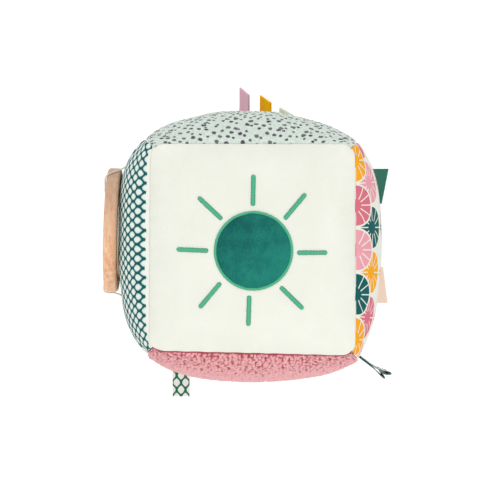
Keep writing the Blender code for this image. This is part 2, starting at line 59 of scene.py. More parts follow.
class Reading:
    """A shader socket in a sum: each operator on it adds a Math node to its material."""

    def __init__(self, finish, socket):
        self.finish = finish
        self.socket = socket

    def math(self, operation, *values):
        return self.finish.node("Math", {"operation": operation}, dict(enumerate(values)))

    def __add__(self, other):
        return self.math("ADD", self, other)

    def __radd__(self, other):
        return self.math("ADD", other, self)

    def __sub__(self, other):
        return self.math("SUBTRACT", self, other)

    def __rsub__(self, other):
        return self.math("SUBTRACT", other, self)

    def __mul__(self, other):
        return self.math("MULTIPLY", self, other)

    def __rmul__(self, other):
        return self.math("MULTIPLY", other, self)

    def __truediv__(self, other):
        return self.math("DIVIDE", self, other)

    def __rtruediv__(self, other):
        return self.math("DIVIDE", other, self)

    def __pow__(self, other):
        return self.math("POWER", self, other)

    def __lt__(self, other):
        return self.math("LESS_THAN", self, other)

    def __gt__(self, other):
        return self.math("GREATER_THAN", self, other)

    def __abs__(self):
        return self.math("ABSOLUTE", self)

    def floor(self):
        return self.math("FLOOR", self)

    def fraction(self):
        return self.math("FRACT", self)

    def sine(self):
        return self.math("SINE", self)

    def least(self, other):
        return self.math("MINIMUM", self, other)

    def between(self, low, high):
        """0 below low, 1 above high, and a smooth step from one to the other."""
        return self.finish.node(
            "MapRange",
            {"interpolation_type": "SMOOTHSTEP"},
            {"Value": self, "From Min": low, "From Max": high},
        )


class Finish:
    """The nodes of a material or a world: its main shader, and one method that adds any other."""

    def __init__(self, owner, shader, constants):
        owner.use_nodes = True
        self.owner = owner
        self.tree = owner.node_tree
        self.shader = self.tree.nodes[shader]
        self.feed(self.shader, constants)

    def feed(self, node, values):
        """Sets sockets to numbers or colours, or links readings to them."""
        for name, value in values.items():
            socket = node.inputs[name]
            if isinstance(value, Reading):
                self.tree.links.new(value.socket, socket)
            elif socket.type == "RGBA":
                socket.default_value = (*value, 1)
            else:
                socket.default_value = value

    def node(self, kind, settings, values, output=0):
        made = self.tree.nodes.new("ShaderNode" + kind)
        for name, setting in settings.items():
            setattr(made, name, setting)
        self.feed(made, values)
        return Reading(self, made.outputs[output])

    def mixed(self, share, first, second):
        """The first colour where share is 0, and the second where it is 1."""
        return self.node("Mix", {"data_type": "RGBA"}, {0: share, 6: first, 7: second}, 2)

    def noise(self, place, scale, detail=2.0, stretch=(1, 1, 1)):
        """Cloudy noise from 0 to 1, in this many lumps a metre, drawn out by stretch."""
        turned = self.node("Mapping", {}, {"Vector": place, "Scale": stretch})
        return self.node("TexNoise", {}, {"Vector": turned, "Scale": scale, "Detail": detail})

    def raised(self, height, distance):
        """The normal of a surface on which height 1 stands up by distance."""
        return self.node("Bump", {}, {"Height": height, "Distance": distance, "Strength": 1.0})


def dyed(red, green, blue):
    """A colour as it looks, in steps of 0 to 255, as the shader's light values."""
    look = np.array([red, green, blue]) / 255
    return tuple(np.where(look <= 0.04045, look / 12.92, ((look + 0.055) / 1.055) ** 2.4).tolist())


def new_finish(name, constants):
    return Finish(bpy.data.materials.new(name), "Principled BSDF", constants)


def seen_directly(finish):
    """1 for rays from the camera, or by way of metal or glass, and 0 for the light's own."""
    path = finish.node("LightPath", {}, {}, "Is Camera Ray")
    rays = path.socket.node.outputs
    seen = path + Reading(finish, rays["Is Glossy Ray"]) + Reading(finish, rays["Is Transmission Ray"])
    return seen.least(1.0)


def add_lamp(name, place, size, power):
    """A square lamp that faces the block."""
    lamp = bpy.data.lights.new(name, "AREA")
    lamp.size = size
    lamp.energy = power
    holder = bpy.data.objects.new(name, lamp)
    holder.location = place
    towards = Vector((0, 0, 0.07)) - holder.location
    holder.rotation_euler = towards.to_track_quat("-Z", "Y").to_euler()
    holder.visible_camera = False
    bpy.context.scene.collection.objects.link(holder)


camera = bpy.data.objects.new("camera", bpy.data.cameras.new("camera"))
camera.data.angle = math.radians(12.0)
camera.data.clip_start = 0.01
camera.location = (-0.0024, 0.0005, 1.409)
bpy.context.scene.collection.objects.link(camera)
bpy.context.scene.camera = camera
bpy.context.scene.view_settings.view_transform = "Standard"

sky = Finish(bpy.data.worlds.new("sky"), "Background", {})
sky_light = 0.86
sky.feed(sky.shader, {"Strength": sky_light + (1 - sky_light) * seen_directly(sky)})
sky.feed(sky.shader, {"Color": (1.0, 1.0, 1.0)})
bpy.context.scene.world = sky.owner

add_lamp("window_lamp", (-0.15, 0.95, 1.15), 0.7, 2.4)
add_lamp("near_lamp", (0.3, -1.1, 1.0), 0.9, 3.6)

floor_reach = 6.0
floor_glow = 0.45
floor_mesh = bpy.data.meshes.new("floor")
corners = [(-floor_reach, -floor_reach), (floor_reach, -floor_reach)]
corners += [(floor_reach, floor_reach), (-floor_reach, floor_reach)]
floor_mesh.from_pydata([(x, y, -0.0002) for x, y in corners], [], [(0, 1, 2, 3)])
floor = bpy.data.objects.new("floor", floor_mesh)
bpy.context.scene.collection.objects.link(floor)
paper = new_finish("white paper", {"Base Color": (0.84, 0.84, 0.84), "Roughness": 1.0})
paper.feed(paper.shader, {"Specular IOR Level": 0.0, "Emission Strength": 1.0})
glow = floor_glow * seen_directly(paper)
paper.feed(paper.shader, {"Emission Color": paper.node("CombineColor", {}, {0: glow, 1: glow, 2: glow})})
floor_mesh.materials.append(paper.owner)

# The sun panel: the front square of the block, of cream short-pile velvet on a soft backing. Its
# four seams are sewn from the inside, and their allowances turn in towards the filling.
half_sizes = np.array([0.0557, 0.0574, 0.0565])
middle = np.array([0.0, 0.0, 0.0725])
front_corner_shares = {
    (-1, 1): (-1.002, 1.003),
    (1, 1): (1.009, 1.000),
    (-1, -1): (-1.016, -0.969),
    (1, -1): (1.013, -1.017),
}
seam_swell = 0.0044
corner_swell_shares = {(-1, 1): 1.0, (1, 1): 0.6, (-1, -1): 0.57, (1, -1): 0.73}
crown_power = 1.6
corner_draw = 0.0037
corner_reach = 0.0090
seam_allowance = 0.0060

# How the cloth rolls over into a seam, and how the stitching dimples it beside the seam
roll_width = 0.0026
roll_depth = 0.0008
dimple_reach = 0.0050
dimple_depth = 0.00045
dimple_spacing = 0.0095
wave_height = 0.00035
wave_spacing = 0.034


@dataclass
class Panel:
    """A crowned square of cloth. Its axes are unit vectors, and across x up = out. Fullness, across
    and up, says how flat the crown's middle and how steep its rim is. The crown grows by its lean
    towards the edge that across points at, and is cut off flat by its cut. The seed draws its
    waves and dimples."""

    name: str
    across: tuple
    up: tuple
    out: tuple
    crown: float
    cloth: float
    fullness: tuple
    lean: float
    cut: float
    seed: int

    def halves(self):
        """Half the panel's size, across and up."""
        return abs(np.dot(self.across, half_sizes)), abs(np.dot(self.up, half_sizes))


def smooth_step(share):
    """3 s^2 - 2 s^3, with s held from 0 to 1."""
    share = np.clip(share, 0, 1)
    return share * share * (3 - 2 * share)


def waves(x, y, spacing, seed):
    """Seven plane waves in random directions, about a spacing long, added up to about -1 to 1."""
    draw = np.random.default_rng(seed)
    total = 0.0
    for turn, length, phase in draw.uniform((0, 0.7, 0), (2 * np.pi, 1.5, 2 * np.pi), (7, 3)):
        along = x * np.cos(turn) + y * np.sin(turn)
        total = total + np.sin(2 * np.pi * along / (spacing * length) + phase)
    return total / 3.5


def block_corner(signs):
    """Where three seams meet, in world coordinates. Signs are -1 or 1 along X, Y and Z."""
    x, y, z = (int(sign) for sign in signs)
    share_x, share_y = front_corner_shares[x, y] if z > 0 else (x, y)
    return middle + half_sizes * np.array([share_x, share_y, z])


def swollen_corner(signs, height):
    """A corner of the block, moved out with its upright seam's swell * (1 - height^2)."""
    share = corner_swell_shares[int(signs[0]), int(signs[1])]
    swell = seam_swell * share * (1 - height**2)
    return block_corner(signs) + swell * np.array([signs[0], signs[1], 0])


def crown_share(distance, fullness):
    """From 1 in the middle to 0 at the seam: (1 - e^(-f * (1 - |t|^p))) / (1 - e^-f)."""
    fall = 1 - np.minimum(abs(distance), 1) ** crown_power
    return (1 - np.exp(-fullness * fall)) / (1 - np.exp(-fullness))


def panel_points(panel, u, v, sink):
    """The square between the panel's four corners, lifted along its outward axis by
    crown * (1 + lean * u) * crown_share(u) * crown_share(v), then moved straight towards the
    block's middle by sink, and by corner_draw * (1 - distance / corner_reach)^2 near a corner.
    u and v run from -1 to 1 between the seams."""
    u, v, sink = (np.asarray(part)[..., None] for part in np.broadcast_arrays(u, v, sink))
    across, up, out = (np.array(axis) for axis in (panel.across, panel.up, panel.out))
    height = out[2] + u * across[2] + v * up[2]
    ends = [(side, end) for side in (-1, 1) for end in (-1, 1)]
    square = sum(
        swollen_corner(out + side * across + end * up, height) * (1 + side * u) * (1 + end * v) / 4
        for side, end in ends
    )
    share = crown_share(u, panel.fullness[0]) * crown_share(v, panel.fullness[1])
    lift = panel.crown * (1 + panel.lean * u) * share
    points = square + out * np.minimum(lift, panel.crown - panel.cut)
    for side, end in ends:
        away = points - block_corner(out + side * across + end * up)
        distance = np.linalg.norm(away, axis=-1, keepdims=True)
        sink = sink + corner_draw * np.clip(1 - distance / corner_reach, 0, 1) ** 2
    inward = middle - points
    return points + sink * inward / np.linalg.norm(inward, axis=-1, keepdims=True)


def rolled(distance):
    """How deep the cloth lies at this distance from a seam: a quarter of an ellipse."""
    share = np.clip(1 - distance / roll_width, 0, 1)
    return roll_depth * (1 - np.sqrt(1 - share**2))


def dimpled(along, distance, seed):
    """Dimples along a seam, deepest a little way off it: waves * e^(-d / reach) * (1 - e^(-5 d / reach))."""
    fade = np.exp(-distance / dimple_reach) * (1 - np.exp(-5 * distance / dimple_reach))
    return dimple_depth * 2 * waves(along, distance / 3, dimple_spacing, seed) * fade


def cloth_points(panel, u, v, sink):
    """The panel with its cloth's own relief: it rolls into the four seams, dimples beside them, and
    waves over the filling, by waves * (1 - u^4) * (1 - v^4)."""
    half_across, half_up = panel.halves()
    x, y = u * half_across, v * half_up
    relief = wave_height * waves(x, y, wave_spacing, panel.seed) * (1 - u**4) * (1 - v**4)
    for edge, side in enumerate((-1, 1)):
        beside = np.maximum(half_across - side * x, 0)
        below = np.maximum(half_up - side * y, 0)
        relief = relief + dimpled(y, beside, 10 * panel.seed + edge) - rolled(beside)
        relief = relief + dimpled(x, below, 10 * panel.seed + edge + 2) - rolled(below)
    if panel.cut:
        relief = np.minimum(relief, 0.0)
    return panel_points(panel, u, v, sink - relief)


def on_cloth(panel, x, y, lift):
    """A point of the panel by its distances from the block's middle, along the panel's axes, and
    lifted off the cloth. The panel isn't quite square, so a first guess is corrected three times."""
    across, up = np.array(panel.across), np.array(panel.up)
    half_across, half_up = panel.halves()
    u, v = np.asarray(x) / half_across, np.asarray(y) / half_up
    for _ in range(3):
        found = panel_points(panel, u, v, 0.0) - middle
        u = u + (x - found @ across) / half_across
        v = v + (y - found @ up) / half_up
    return cloth_points(panel, u, v, -np.asarray(lift))


def grid_faces(rows, columns, start=0):
    """Quads of a grid of points that are numbered row by row."""
    first = start + np.arange(rows - 1)[:, None] * columns + np.arange(columns - 1)[None, :]
    quads = np.stack([first, first + columns, first + columns + 1, first + 1], axis=-1)
    return quads.reshape(-1, 4).tolist()


def put_mesh(name, points, faces, finish, marks=()):
    """A smooth piece from points and faces, with its doubles merged and its faces outwards. Marks
    are names and values, one to three numbers a point, that its material reads."""
    mesh = bpy.data.meshes.new(name)
    mesh.from_pydata(np.asarray(points).reshape(-1, 3).tolist(), [], faces)
    for mark, values in marks:
        values = np.asarray(values, dtype=np.float32).reshape(len(mesh.vertices), -1)
        kind, field = ("FLOAT", "value") if values.shape[1] == 1 else ("FLOAT_VECTOR", "vector")
        mesh.attributes.new(mark, kind, "POINT").data.foreach_set(field, values.ravel())
    shape = bmesh.new()
    shape.from_mesh(mesh)
    bmesh.ops.remove_doubles(shape, verts=shape.verts, dist=0.000001)
    if shape.calc_volume(signed=True) < 0:
        bmesh.ops.reverse_faces(shape, faces=shape.faces)
    shape.to_mesh(mesh)
    shape.free()
    mesh.shade_smooth()
    mesh.materials.append(finish.owner)
    piece = bpy.data.objects.new(name, mesh)
    bpy.context.scene.collection.objects.link(piece)
    return piece


# Lines of the cloth's grid close to a seam. Every third line is one of the lining's.
seam_lines = (0.00015, 0.0004, 0.0008, 0.00135, 0.0017, 0.0021, 0.0026, 0.0032, 0.0040)


def cloth_lines(half, spacing):
    """Grid lines from seam to seam as shares of half the panel, close together at the seams."""
    inside = half - seam_lines[-1]
    count = 3 * math.ceil(2 * inside / spacing / 3) - 1
    even = np.linspace(-inside, inside, count + 2)[1:-1]
    return np.concatenate([np.array(seam_lines) - half, even, half - np.array(seam_lines[::-1])]) / half


def cloth_lengths(panel, across, up):
    """How far the grid's lines lie from the panel's middle: straight across, because the cloth is
    stretched that way, and measured on the cloth the other way."""
    line = panel_points(panel, 0 * up, up, 0.0)
    steps = np.linalg.norm(np.diff(line, axis=0), axis=-1)
    length = np.concatenate([[0], np.cumsum(steps)])
    return across * panel.halves()[0], length - length[-1] / 2


def add_cloth(panel, finish, spacing=0.0008, pile=None):
    """The panel as a sheet: cloth outside, a coarser lining inside that turns in at the seams, and
    a rim between them, closed but for slits under half a millimetre at the corners. pile lifts the
    cloth by a function of its lengths across and up. The mark cloth holds those lengths, and how
    far it is to the nearest seam."""
    half_across, half_up = panel.halves()
    across, up = cloth_lines(half_across, spacing), cloth_lines(half_up, spacing)
    u, v = across[:, None], up[None, :]
    x, y = np.broadcast_arrays(*np.ix_(*cloth_lengths(panel, across, up)))
    seam = np.minimum((1 - abs(u)) * half_across, (1 - abs(v)) * half_up)
    lift = pile(x, y, seam) if pile else np.zeros(seam.shape)
    outer = cloth_points(panel, u, v, -lift)
    allowance = seam < seam_lines[4]
    sink = panel.cloth + roll_depth * (seam < roll_width) + (seam_allowance - roll_depth) * allowance
    inner = panel_points(panel, u, v, sink)[::3, ::3]
    rows, columns = seam.shape
    inner_rows, inner_columns = inner.shape[:2]
    count = rows * columns
    faces = grid_faces(rows, columns)
    faces += [face[::-1] for face in grid_faces(inner_rows, inner_columns, count)]
    number = np.arange(count).reshape(rows, columns)
    inner_number = count + np.arange(inner_rows * inner_columns).reshape(inner_rows, inner_columns)
    for edge, inner_edge in (
        (number[:, 0], inner_number[:, 0]),
        (number[-1, :], inner_number[-1, :]),
        (number[::-1, -1], inner_number[::-1, -1]),
        (number[0, ::-1], inner_number[0, ::-1]),
    ):
        for step in range(len(inner_edge) - 1):
            cloth_side = edge[3 * step : 3 * step + 4].tolist()[::-1]
            faces.append((*cloth_side, int(inner_edge[step]), int(inner_edge[step + 1])))
    marks = np.stack(np.broadcast_arrays(x, y, seam), axis=-1)
    points = np.concatenate([outer.reshape(-1, 3), inner.reshape(-1, 3)])
    marks = np.concatenate([marks.reshape(-1, 3), marks[::3, ::3].reshape(-1, 3)])
    height = np.concatenate([lift.ravel(), lift[::3, ::3].ravel()])
    return put_mesh(panel.name + "_cloth", points, faces, finish, [("cloth", marks), ("pile", height)])


def sew_panel(panel, finish, slot, flat, beside, **relief):
    """Puts the panel's cloth on the block. flat, its size when it lies flat, is not used."""
    cloth = add_cloth(panel, finish, **relief)
    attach(cloth, "block")
    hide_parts(panel.name)


def read_mark(finish, name, output="Vector"):
    return finish.node("Attribute", {"attribute_name": name}, {}, output)


def parts_of(finish, place):
    """The three numbers of a place."""
    split = finish.node("SeparateXYZ", {}, {0: place}).socket.node
    return [Reading(finish, socket) for socket in split.outputs]


def place_of(finish, x, y):
    return finish.node("CombineXYZ", {}, {0: x, 1: y})


cream = dyed(247, 247, 236)
cream_shade = dyed(236, 238, 226)
velvet_nap = 1700
velvet_relief = 0.00009

velvet = new_finish("cream velvet", {"Roughness": 0.95, "Specular IOR Level": 0.2})
velvet.feed(velvet.shader, {"Sheen Weight": 0.12, "Sheen Roughness": 0.5})
on_velvet = read_mark(velvet, "cloth")
brushed = velvet.noise(on_velvet, 45, 3.0, (1.0, 0.6, 1.0))
nap = velvet.noise(on_velvet, velvet_nap, 2.0, (1.0, 0.55, 1.0))
shading = (brushed * 0.7 + nap * 0.6 - 0.15).between(0.2, 0.9)
velvet.feed(velvet.shader, {"Base Color": velvet.mixed(shading, cream_shade, cream)})
velvet.feed(velvet.shader, {"Normal": velvet.raised(nap, velvet_relief)})

velvet_cloth = 0.0015
sun_panel = Panel(
    "sun_panel", (1, 0, 0), (0, 1, 0), (0, 0, 1), 0.0165, velvet_cloth, (2.0, 2.0), 0.0, 0.0, 1
)
velvet_flat = (0.130, 0.133)
sew_panel(sun_panel, velvet, "cream_velvet", velvet_flat, ["filling_front"])

# The back panel: the sixth square, of the same cream velvet, pressed flat where the block lies on it.
back_panel = Panel(
    "back_panel", (-1, 0, 0), (0, 1, 0), (0, 0, -1), 0.0176, velvet_cloth, (2.0, 2.0), 0.0, 0.0016, 2
)
sew_panel(back_panel, velvet, "cream_velvet", velvet_flat, ["filling_back"])
both_halves = ["filling_front", "filling_back"]

# The dotted panel: the +Y side, of pale mint plush with soft dark dots printed into its nap. The
# dots are uneven in size and place, and the brushed nap blurs their rims.
mint = dyed(228, 239, 230)
mint_shade = dyed(204, 219, 209)
dot_grey = dyed(72, 64, 80)
dot_spacing = 0.0043
dot_radius = 0.17
dot_spread = 0.15
dot_blur = 0.05
dot_turn = math.radians(27)

plush = new_finish("dotted plush", {"Roughness": 1.0, "Specular IOR Level": 0.15})
plush.feed(plush.shader, {"Sheen Weight": 0.15, "Sheen Roughness": 0.5})
on_plush = read_mark(plush, "cloth")
across, up, _ = parts_of(plush, on_plush)
ruffle = plush.noise(on_plush, 900, 2.0)
ruffled = place_of(plush, across + (ruffle - 0.5) * 0.0007, up + (ruffle - 0.5) * 0.0006)
ruffled = plush.node("Mapping", {}, {"Vector": ruffled, "Rotation": (0, 0, dot_turn)})
cells = plush.node(
    "TexVoronoi",
    {"voronoi_dimensions": "2D"},
    {"Vector": ruffled, "Scale": 1 / dot_spacing, "Randomness": 0.7},
    "Distance",
)
cell_draw = Reading(plush, cells.socket.node.outputs["Color"])
size_draw, shade_draw, _ = parts_of(plush, cell_draw)
rim = dot_radius + dot_spread * size_draw
dots = 1 - (cells - rim).between(-dot_blur, dot_blur)
tufts = plush.noise(on_plush, 1100, 3.0, (1.0, 0.5, 1.0))
mint_nap = plush.mixed(tufts.between(0.3, 0.65), mint_shade, mint)
plush.feed(plush.shader, {"Base Color": plush.mixed(dots * (0.8 + 0.2 * shade_draw), mint_nap, dot_grey)})
plush.feed(plush.shader, {"Normal": plush.raised(tufts, 0.00035)})

plush_pile = 0.00035


def plush_tufts(x, y, seam):
    """The nap's small clumps, by waves about 2 mm long, lower in the seams."""
    return plush_pile * waves(x, y, 0.0024, 31) * smooth_step(seam / 0.004)


dotted_panel = Panel(
    "dotted_panel", (1, 0, 0), (0, 0, -1), (0, 1, 0), 0.0168, 0.0020, (1.3, 3.0), -0.03, 0.0, 3
)
plush_flat = (0.132, 0.133)
sew_panel(
    dotted_panel, plush, "dotted_plush", plush_flat, both_halves, spacing=0.0007, pile=plush_tufts
)

# The teddy panel: the -Y side, of pink teddy fleece. Its long pile is curled into tight locks that
# stand up by about a millimetre, so its front edge and its outline are wavy.
fleece_pink = dyed(253, 188, 190)
fleece_rose = dyed(186, 72, 90)
curl_spacing = 0.0018
curl_height = 0.0013
curl_seam = 0.0006


def scattered(x, y, spacing, seed, jitter=0.8):
    """For each point, the nearest of a seed on every square of a grid, moved at random: how far it
    is in spacings, in which direction, and three random numbers of that seed."""
    column, row = np.floor(x / spacing), np.floor(y / spacing)
    best = np.full(x.shape, 9.0)
    turn, draws = np.zeros(x.shape), np.zeros((3, *x.shape))
    for side in (-1, 0, 1):
        for end in (-1, 0, 1):
            cell = (column + side) * 127.1 + (row + end) * 311.7 + seed
            draw = np.stack([np.modf(abs(np.sin(cell * k)) * 43758.5)[0] for k in (1.0, 1.7, 2.3)])
            away_x = column + side + 0.5 + jitter * (draw[0] - 0.5) - x / spacing
            away_y = row + end + 0.5 + jitter * (draw[1] - 0.5) - y / spacing
            away = np.hypot(away_x, away_y)
            nearer = away < best
            best = np.where(nearer, away, best)
            turn = np.where(nearer, np.arctan2(away_y, away_x), turn)
            draws = np.where(nearer, draw, draws)
    return best, turn, draws


def curls(x, y, seam):
    """Locks of pile: round heads 1 - (1.25 d)^2 around scattered seeds, each wound into a spiral by
    a wave of its angle and distance, over finer locks of half the size. They sink at the seam."""
    away, turn, draws = scattered(x, y, curl_spacing, 5.0)
    spiral = np.cos(turn * np.where(draws[2] > 0.5, 1, -1) + away * 9 + draws[0] * 6)
    head = np.clip(1 - (1.25 * away) ** 2, 0, 1) * (0.75 + 0.5 * draws[1])
    small, _, _ = scattered(x + 0.01, y, curl_spacing * 0.5, 17.0)
    fine = np.clip(1 - (1.25 * small) ** 2, 0, 1)
    lock = 0.72 * head + 0.22 * spiral * np.clip(away * 2.5, 0, 1) + 0.3 * fine - 0.45
    rooted = smooth_step(seam / curl_seam)
    return curl_height * (lock * rooted - 0.4 * (1 - rooted))


fleece = new_finish("teddy fleece", {"Roughness": 1.0, "Specular IOR Level": 0.1})
fleece.feed(fleece.shader, {"Sheen Weight": 0.25, "Sheen Roughness": 0.6})
on_fleece = read_mark(fleece, "cloth")
_, _, seam = parts_of(fleece, on_fleece)
pile_height = read_mark(fleece, "pile", "Fac") * (1 / curl_height)
strands = fleece.noise(on_fleece, 2200, 3.0)
# Painted shade: the fleece turns rose where its pile is low between the curls, and more so near the seams.
painted_hollow_shade = (pile_height + strands * 0.7 - 0.35 - 0.2 * (1 - seam.between(0.0, 0.024))).between(-0.35, 0.29)
fleece.feed(fleece.shader, {"Base Color": fleece.mixed(painted_hollow_shade, fleece_rose, fleece_pink)})
fleece.feed(fleece.shader, {"Normal": fleece.raised(strands, 0.0004)})

teddy_panel = Panel(
    "teddy_panel", (1, 0, 0), (0, 0, 1), (0, -1, 0), 0.0143, 0.0040, (2.1, 3.0), -0.08, 0.0, 4
)
fleece_flat = (0.131, 0.134)
sew_panel(teddy_panel, fleece, "teddy_fleece", fleece_flat, both_halves, spacing=0.00044, pile=curls)

# The net panel: the -X side, of white cotton printed with a dark teal net of ogee meshes, which
# starts about two millimetres behind the front seam. The cotton is a plain weave.
cotton_white = dyed(245, 247, 238)
net_teal = dyed(0, 88, 92)
net_fringe = dyed(176, 220, 212)
mesh_width = 0.00519
mesh_length = 0.0085
first_mesh_share = 0.70
net_line = 0.0012
net_start = 0.0022
net_shift = 0.0012
net_row = 0.00855
cotton_weave = 0.00042


def woven(finish, place, pitch):
    """Threads of a plain weave: the higher of two crossing waves, in turn above each other."""
    x, y, _ = parts_of(finish, place)
    warp = (x * (math.pi / pitch)).sine()
    weft = (y * (math.pi / pitch)).sine()
    return warp * weft * 0.5 + 0.5


def net_distance(finish, along, depth):
    """How far it is to the nearest line of the net. Two families of lines swing to and fro by a
    quarter of a mesh, in opposite phase, so that they touch at each end of a mesh. Their distances
    a and b join as a + b - sqrt(a^2 + b^2), which rounds the corners of the meshes."""
    swing = (depth * (2 * math.pi / mesh_length) + math.pi / 2).sine() * 0.25
    slope = (depth * (2 * math.pi / mesh_length)).sine() * (0.5 * math.pi * mesh_width / mesh_length)
    one = abs((along / mesh_width - 0.25 - swing + 0.5).fraction() - 0.5)
    two = abs((along / mesh_width - 0.75 + swing + 0.5).fraction() - 0.5)
    joined = one + two - (one * one + two * two) ** 0.5
    return joined * mesh_width / ((1 + slope * slope) ** 0.5)


net_panel = Panel(
    "net_panel", (0, -1, 0), (0, 0, 1), (-1, 0, 0), 0.0165, 0.0010, (2.7, 3.0), -0.04, 0.0, 5
)
net_front = cloth_lengths(net_panel, np.linspace(-1, 1, 400), np.linspace(-1, 1, 400))[1][-1]

net_cotton = new_finish("net cotton", {"Roughness": 0.85, "Specular IOR Level": 0.25})
on_net = read_mark(net_cotton, "cloth")
across, up, _ = parts_of(net_cotton, on_net)
wander = net_cotton.noise(on_net, 700, 2.0)
from_front = net_front - up
behind = from_front - net_row
behind = behind + behind.least(0.0) * (first_mesh_share - 1)
distance = net_distance(net_cotton, across - net_shift, behind) + (wander - 0.5) * 0.0003
printed = (from_front + (wander - 0.5) * 0.0012).between(net_start - 0.0001, net_start + 0.0002)
line = (1 - distance.between(net_line * 0.28, net_line * 0.50)) * printed
fringe = (1 - distance.between(net_line * 0.4, net_line * 0.85)) * printed * 0.8
ground = net_cotton.mixed(fringe, cotton_white, net_fringe)
net_cotton.feed(net_cotton.shader, {"Base Color": net_cotton.mixed(line, ground, net_teal)})
threads = woven(net_cotton, on_net, cotton_weave)
net_cotton.feed(net_cotton.shader, {"Normal": net_cotton.raised(threads, 0.00007)})

cotton_flat = (0.131, 0.133)
sew_panel(net_panel, net_cotton, "net_cotton", cotton_flat, both_halves)

# The scallop panel: the +X side, of printed cotton. The print is rows of overlapping scallops, like
# roof tiles, which start at the front seam: two rows in mustard, rose, pale pink and teal with
# thin pale ribs, then an off-white row, in turn.
scallop_panel = Panel(
    "scallop_panel", (0, 1, 0), (0, 0, 1), (1, 0, 0), 0.0139, 0.0010, (1.9, 3.0), 0.15, 0.0, 6
)
scallop_front = cloth_lengths(scallop_panel, np.linspace(-1, 1, 400), np.linspace(-1, 1, 400))[1][-1]
scallop_half = 0.0120
scallop_depth = 0.0142
scallop_rim = 0.0010
rib_width = 0.00060
rib_turn = math.radians(30)
scallop_mustard = dyed(252, 172, 22)
scallop_rose = dyed(222, 114, 134)
scallop_pink = dyed(240, 164, 176)
scallop_teal = dyed(0, 92, 92)
scallop_ground = dyed(240, 242, 230)
scallop_outline = dyed(206, 216, 206)


def scallops(finish, x, y):
    """Each scallop is half an ellipse with its centre on a row. Every second row is moved by half a
    scallop, and each row covers the feet of the one behind it. Returns how far off the own centre
    a point is, as a share, with the angle there, and the scallop's row and place."""
    band = (y / scallop_depth).floor()
    found = []
    for row in (band, band + 1):
        shift = (row * 0.5).fraction() * 2
        place = ((x / scallop_half + shift) * 0.5 + 0.5).floor()
        away_x = x / scallop_half + shift - place * 2
        away_y = y / scallop_depth - row
        found.append((away_x, away_y, row, place))
    own_x, own_y = found[0][0], found[0][1]
    inside = (own_x * own_x + own_y * own_y) < 1
    away_x, away_y, row, place = (
        lower * inside + upper * (1 - inside) for lower, upper in zip(*found)
    )
    distance = (away_x * away_x + away_y * away_y) ** 0.5
    angle = away_x.math("ARCTAN2", away_x, away_y)
    return distance, angle, row, place


scallop_cotton = new_finish("scallop cotton", {"Roughness": 0.85, "Specular IOR Level": 0.25})
on_scallops = read_mark(scallop_cotton, "cloth")
across, up, _ = parts_of(scallop_cotton, on_scallops)
distance, angle, row, place = scallops(scallop_cotton, across, scallop_front - up)
kind = ((2.5 - place + row * 2) / 4).fraction() * 4
colour = scallop_cotton.mixed(kind > 1, scallop_mustard, scallop_rose)
colour = scallop_cotton.mixed(kind > 2, colour, scallop_pink)
colour = scallop_cotton.mixed(kind > 3, colour, scallop_teal)
off_rib = abs((angle / rib_turn + 0.5).fraction() - 0.5) * distance * (rib_turn * scallop_half)
rib_lines = (1 - off_rib.between(rib_width * 0.35, rib_width * 0.65)) * distance.between(0.28, 0.32)
off_rim = (1 - distance) * scallop_half
rims = 1 - off_rim.between(scallop_rim * 0.85, scallop_rim * 1.15)
outlines = rims * off_rim.between(scallop_rim * 0.4, scallop_rim * 0.7)
colour = scallop_cotton.mixed(1 - (1 - rib_lines) * (1 - rims), colour, scallop_ground)
off_white = scallop_cotton.mixed(outlines, scallop_ground, scallop_outline)
colour = scallop_cotton.mixed((row / 3 + 0.01).fraction() > 0.5, colour, off_white)
scallop_cotton.feed(scallop_cotton.shader, {"Base Color": colour})
threads = woven(scallop_cotton, on_scallops, cotton_weave)
scallop_cotton.feed(scallop_cotton.shader, {"Normal": scallop_cotton.raised(threads, 0.00007)})

sew_panel(scallop_panel, scallop_cotton, "scallop_cotton", cotton_flat, both_halves)

# The filling: combed polyester fibre, pressed into the block in two halves with a hollow for the
# rattle between them. It stays clear of the cloth, and deeper along the seams.
panels = [sun_panel, back_panel, dotted_panel, teddy_panel, net_panel, scallop_panel]
pocket_radius = 0.01459
filling_gap = 0.0012
filling_groove = 0.0070
filling_lumps = 0.0005
filling_rings = 44
filling_turns = 120


def skin_distance(direction):
    """From the block's middle to its cloth in a direction. The panel is the one whose outward share
    is largest, and the guess for u and v on it is corrected six times."""
    depths = [abs(np.dot(panel.out, half_sizes)) for panel in panels]
    outward = [direction @ np.array(panel.out) / depth for panel, depth in zip(panels, depths)]
    chosen = np.stack(outward).argmax(axis=0)
    distance, seam = np.zeros(chosen.shape), np.zeros(chosen.shape)
    for number, panel in enumerate(panels):
        here = chosen == number
        towards = direction[here]
        half_across, half_up = panel.halves()
        across, up, out = (np.array(axis) for axis in (panel.across, panel.up, panel.out))
        u = v = np.zeros(len(towards))
        for _ in range(6):
            found = panel_points(panel, u, v, 0.0) - middle
            reach = (found @ out) / (towards @ out)
            u = np.clip(u + (reach * (towards @ across) - found @ across) / half_across, -1, 1)
            v = np.clip(v + (reach * (towards @ up) - found @ up) / half_up, -1, 1)
        found = panel_points(panel, u, v, 0.0) - middle
        distance[here] = np.linalg.norm(found, axis=-1) - panel.cloth
        seam[here] = np.minimum((1 - abs(u)) * half_across, (1 - abs(v)) * half_up)
    return distance, seam


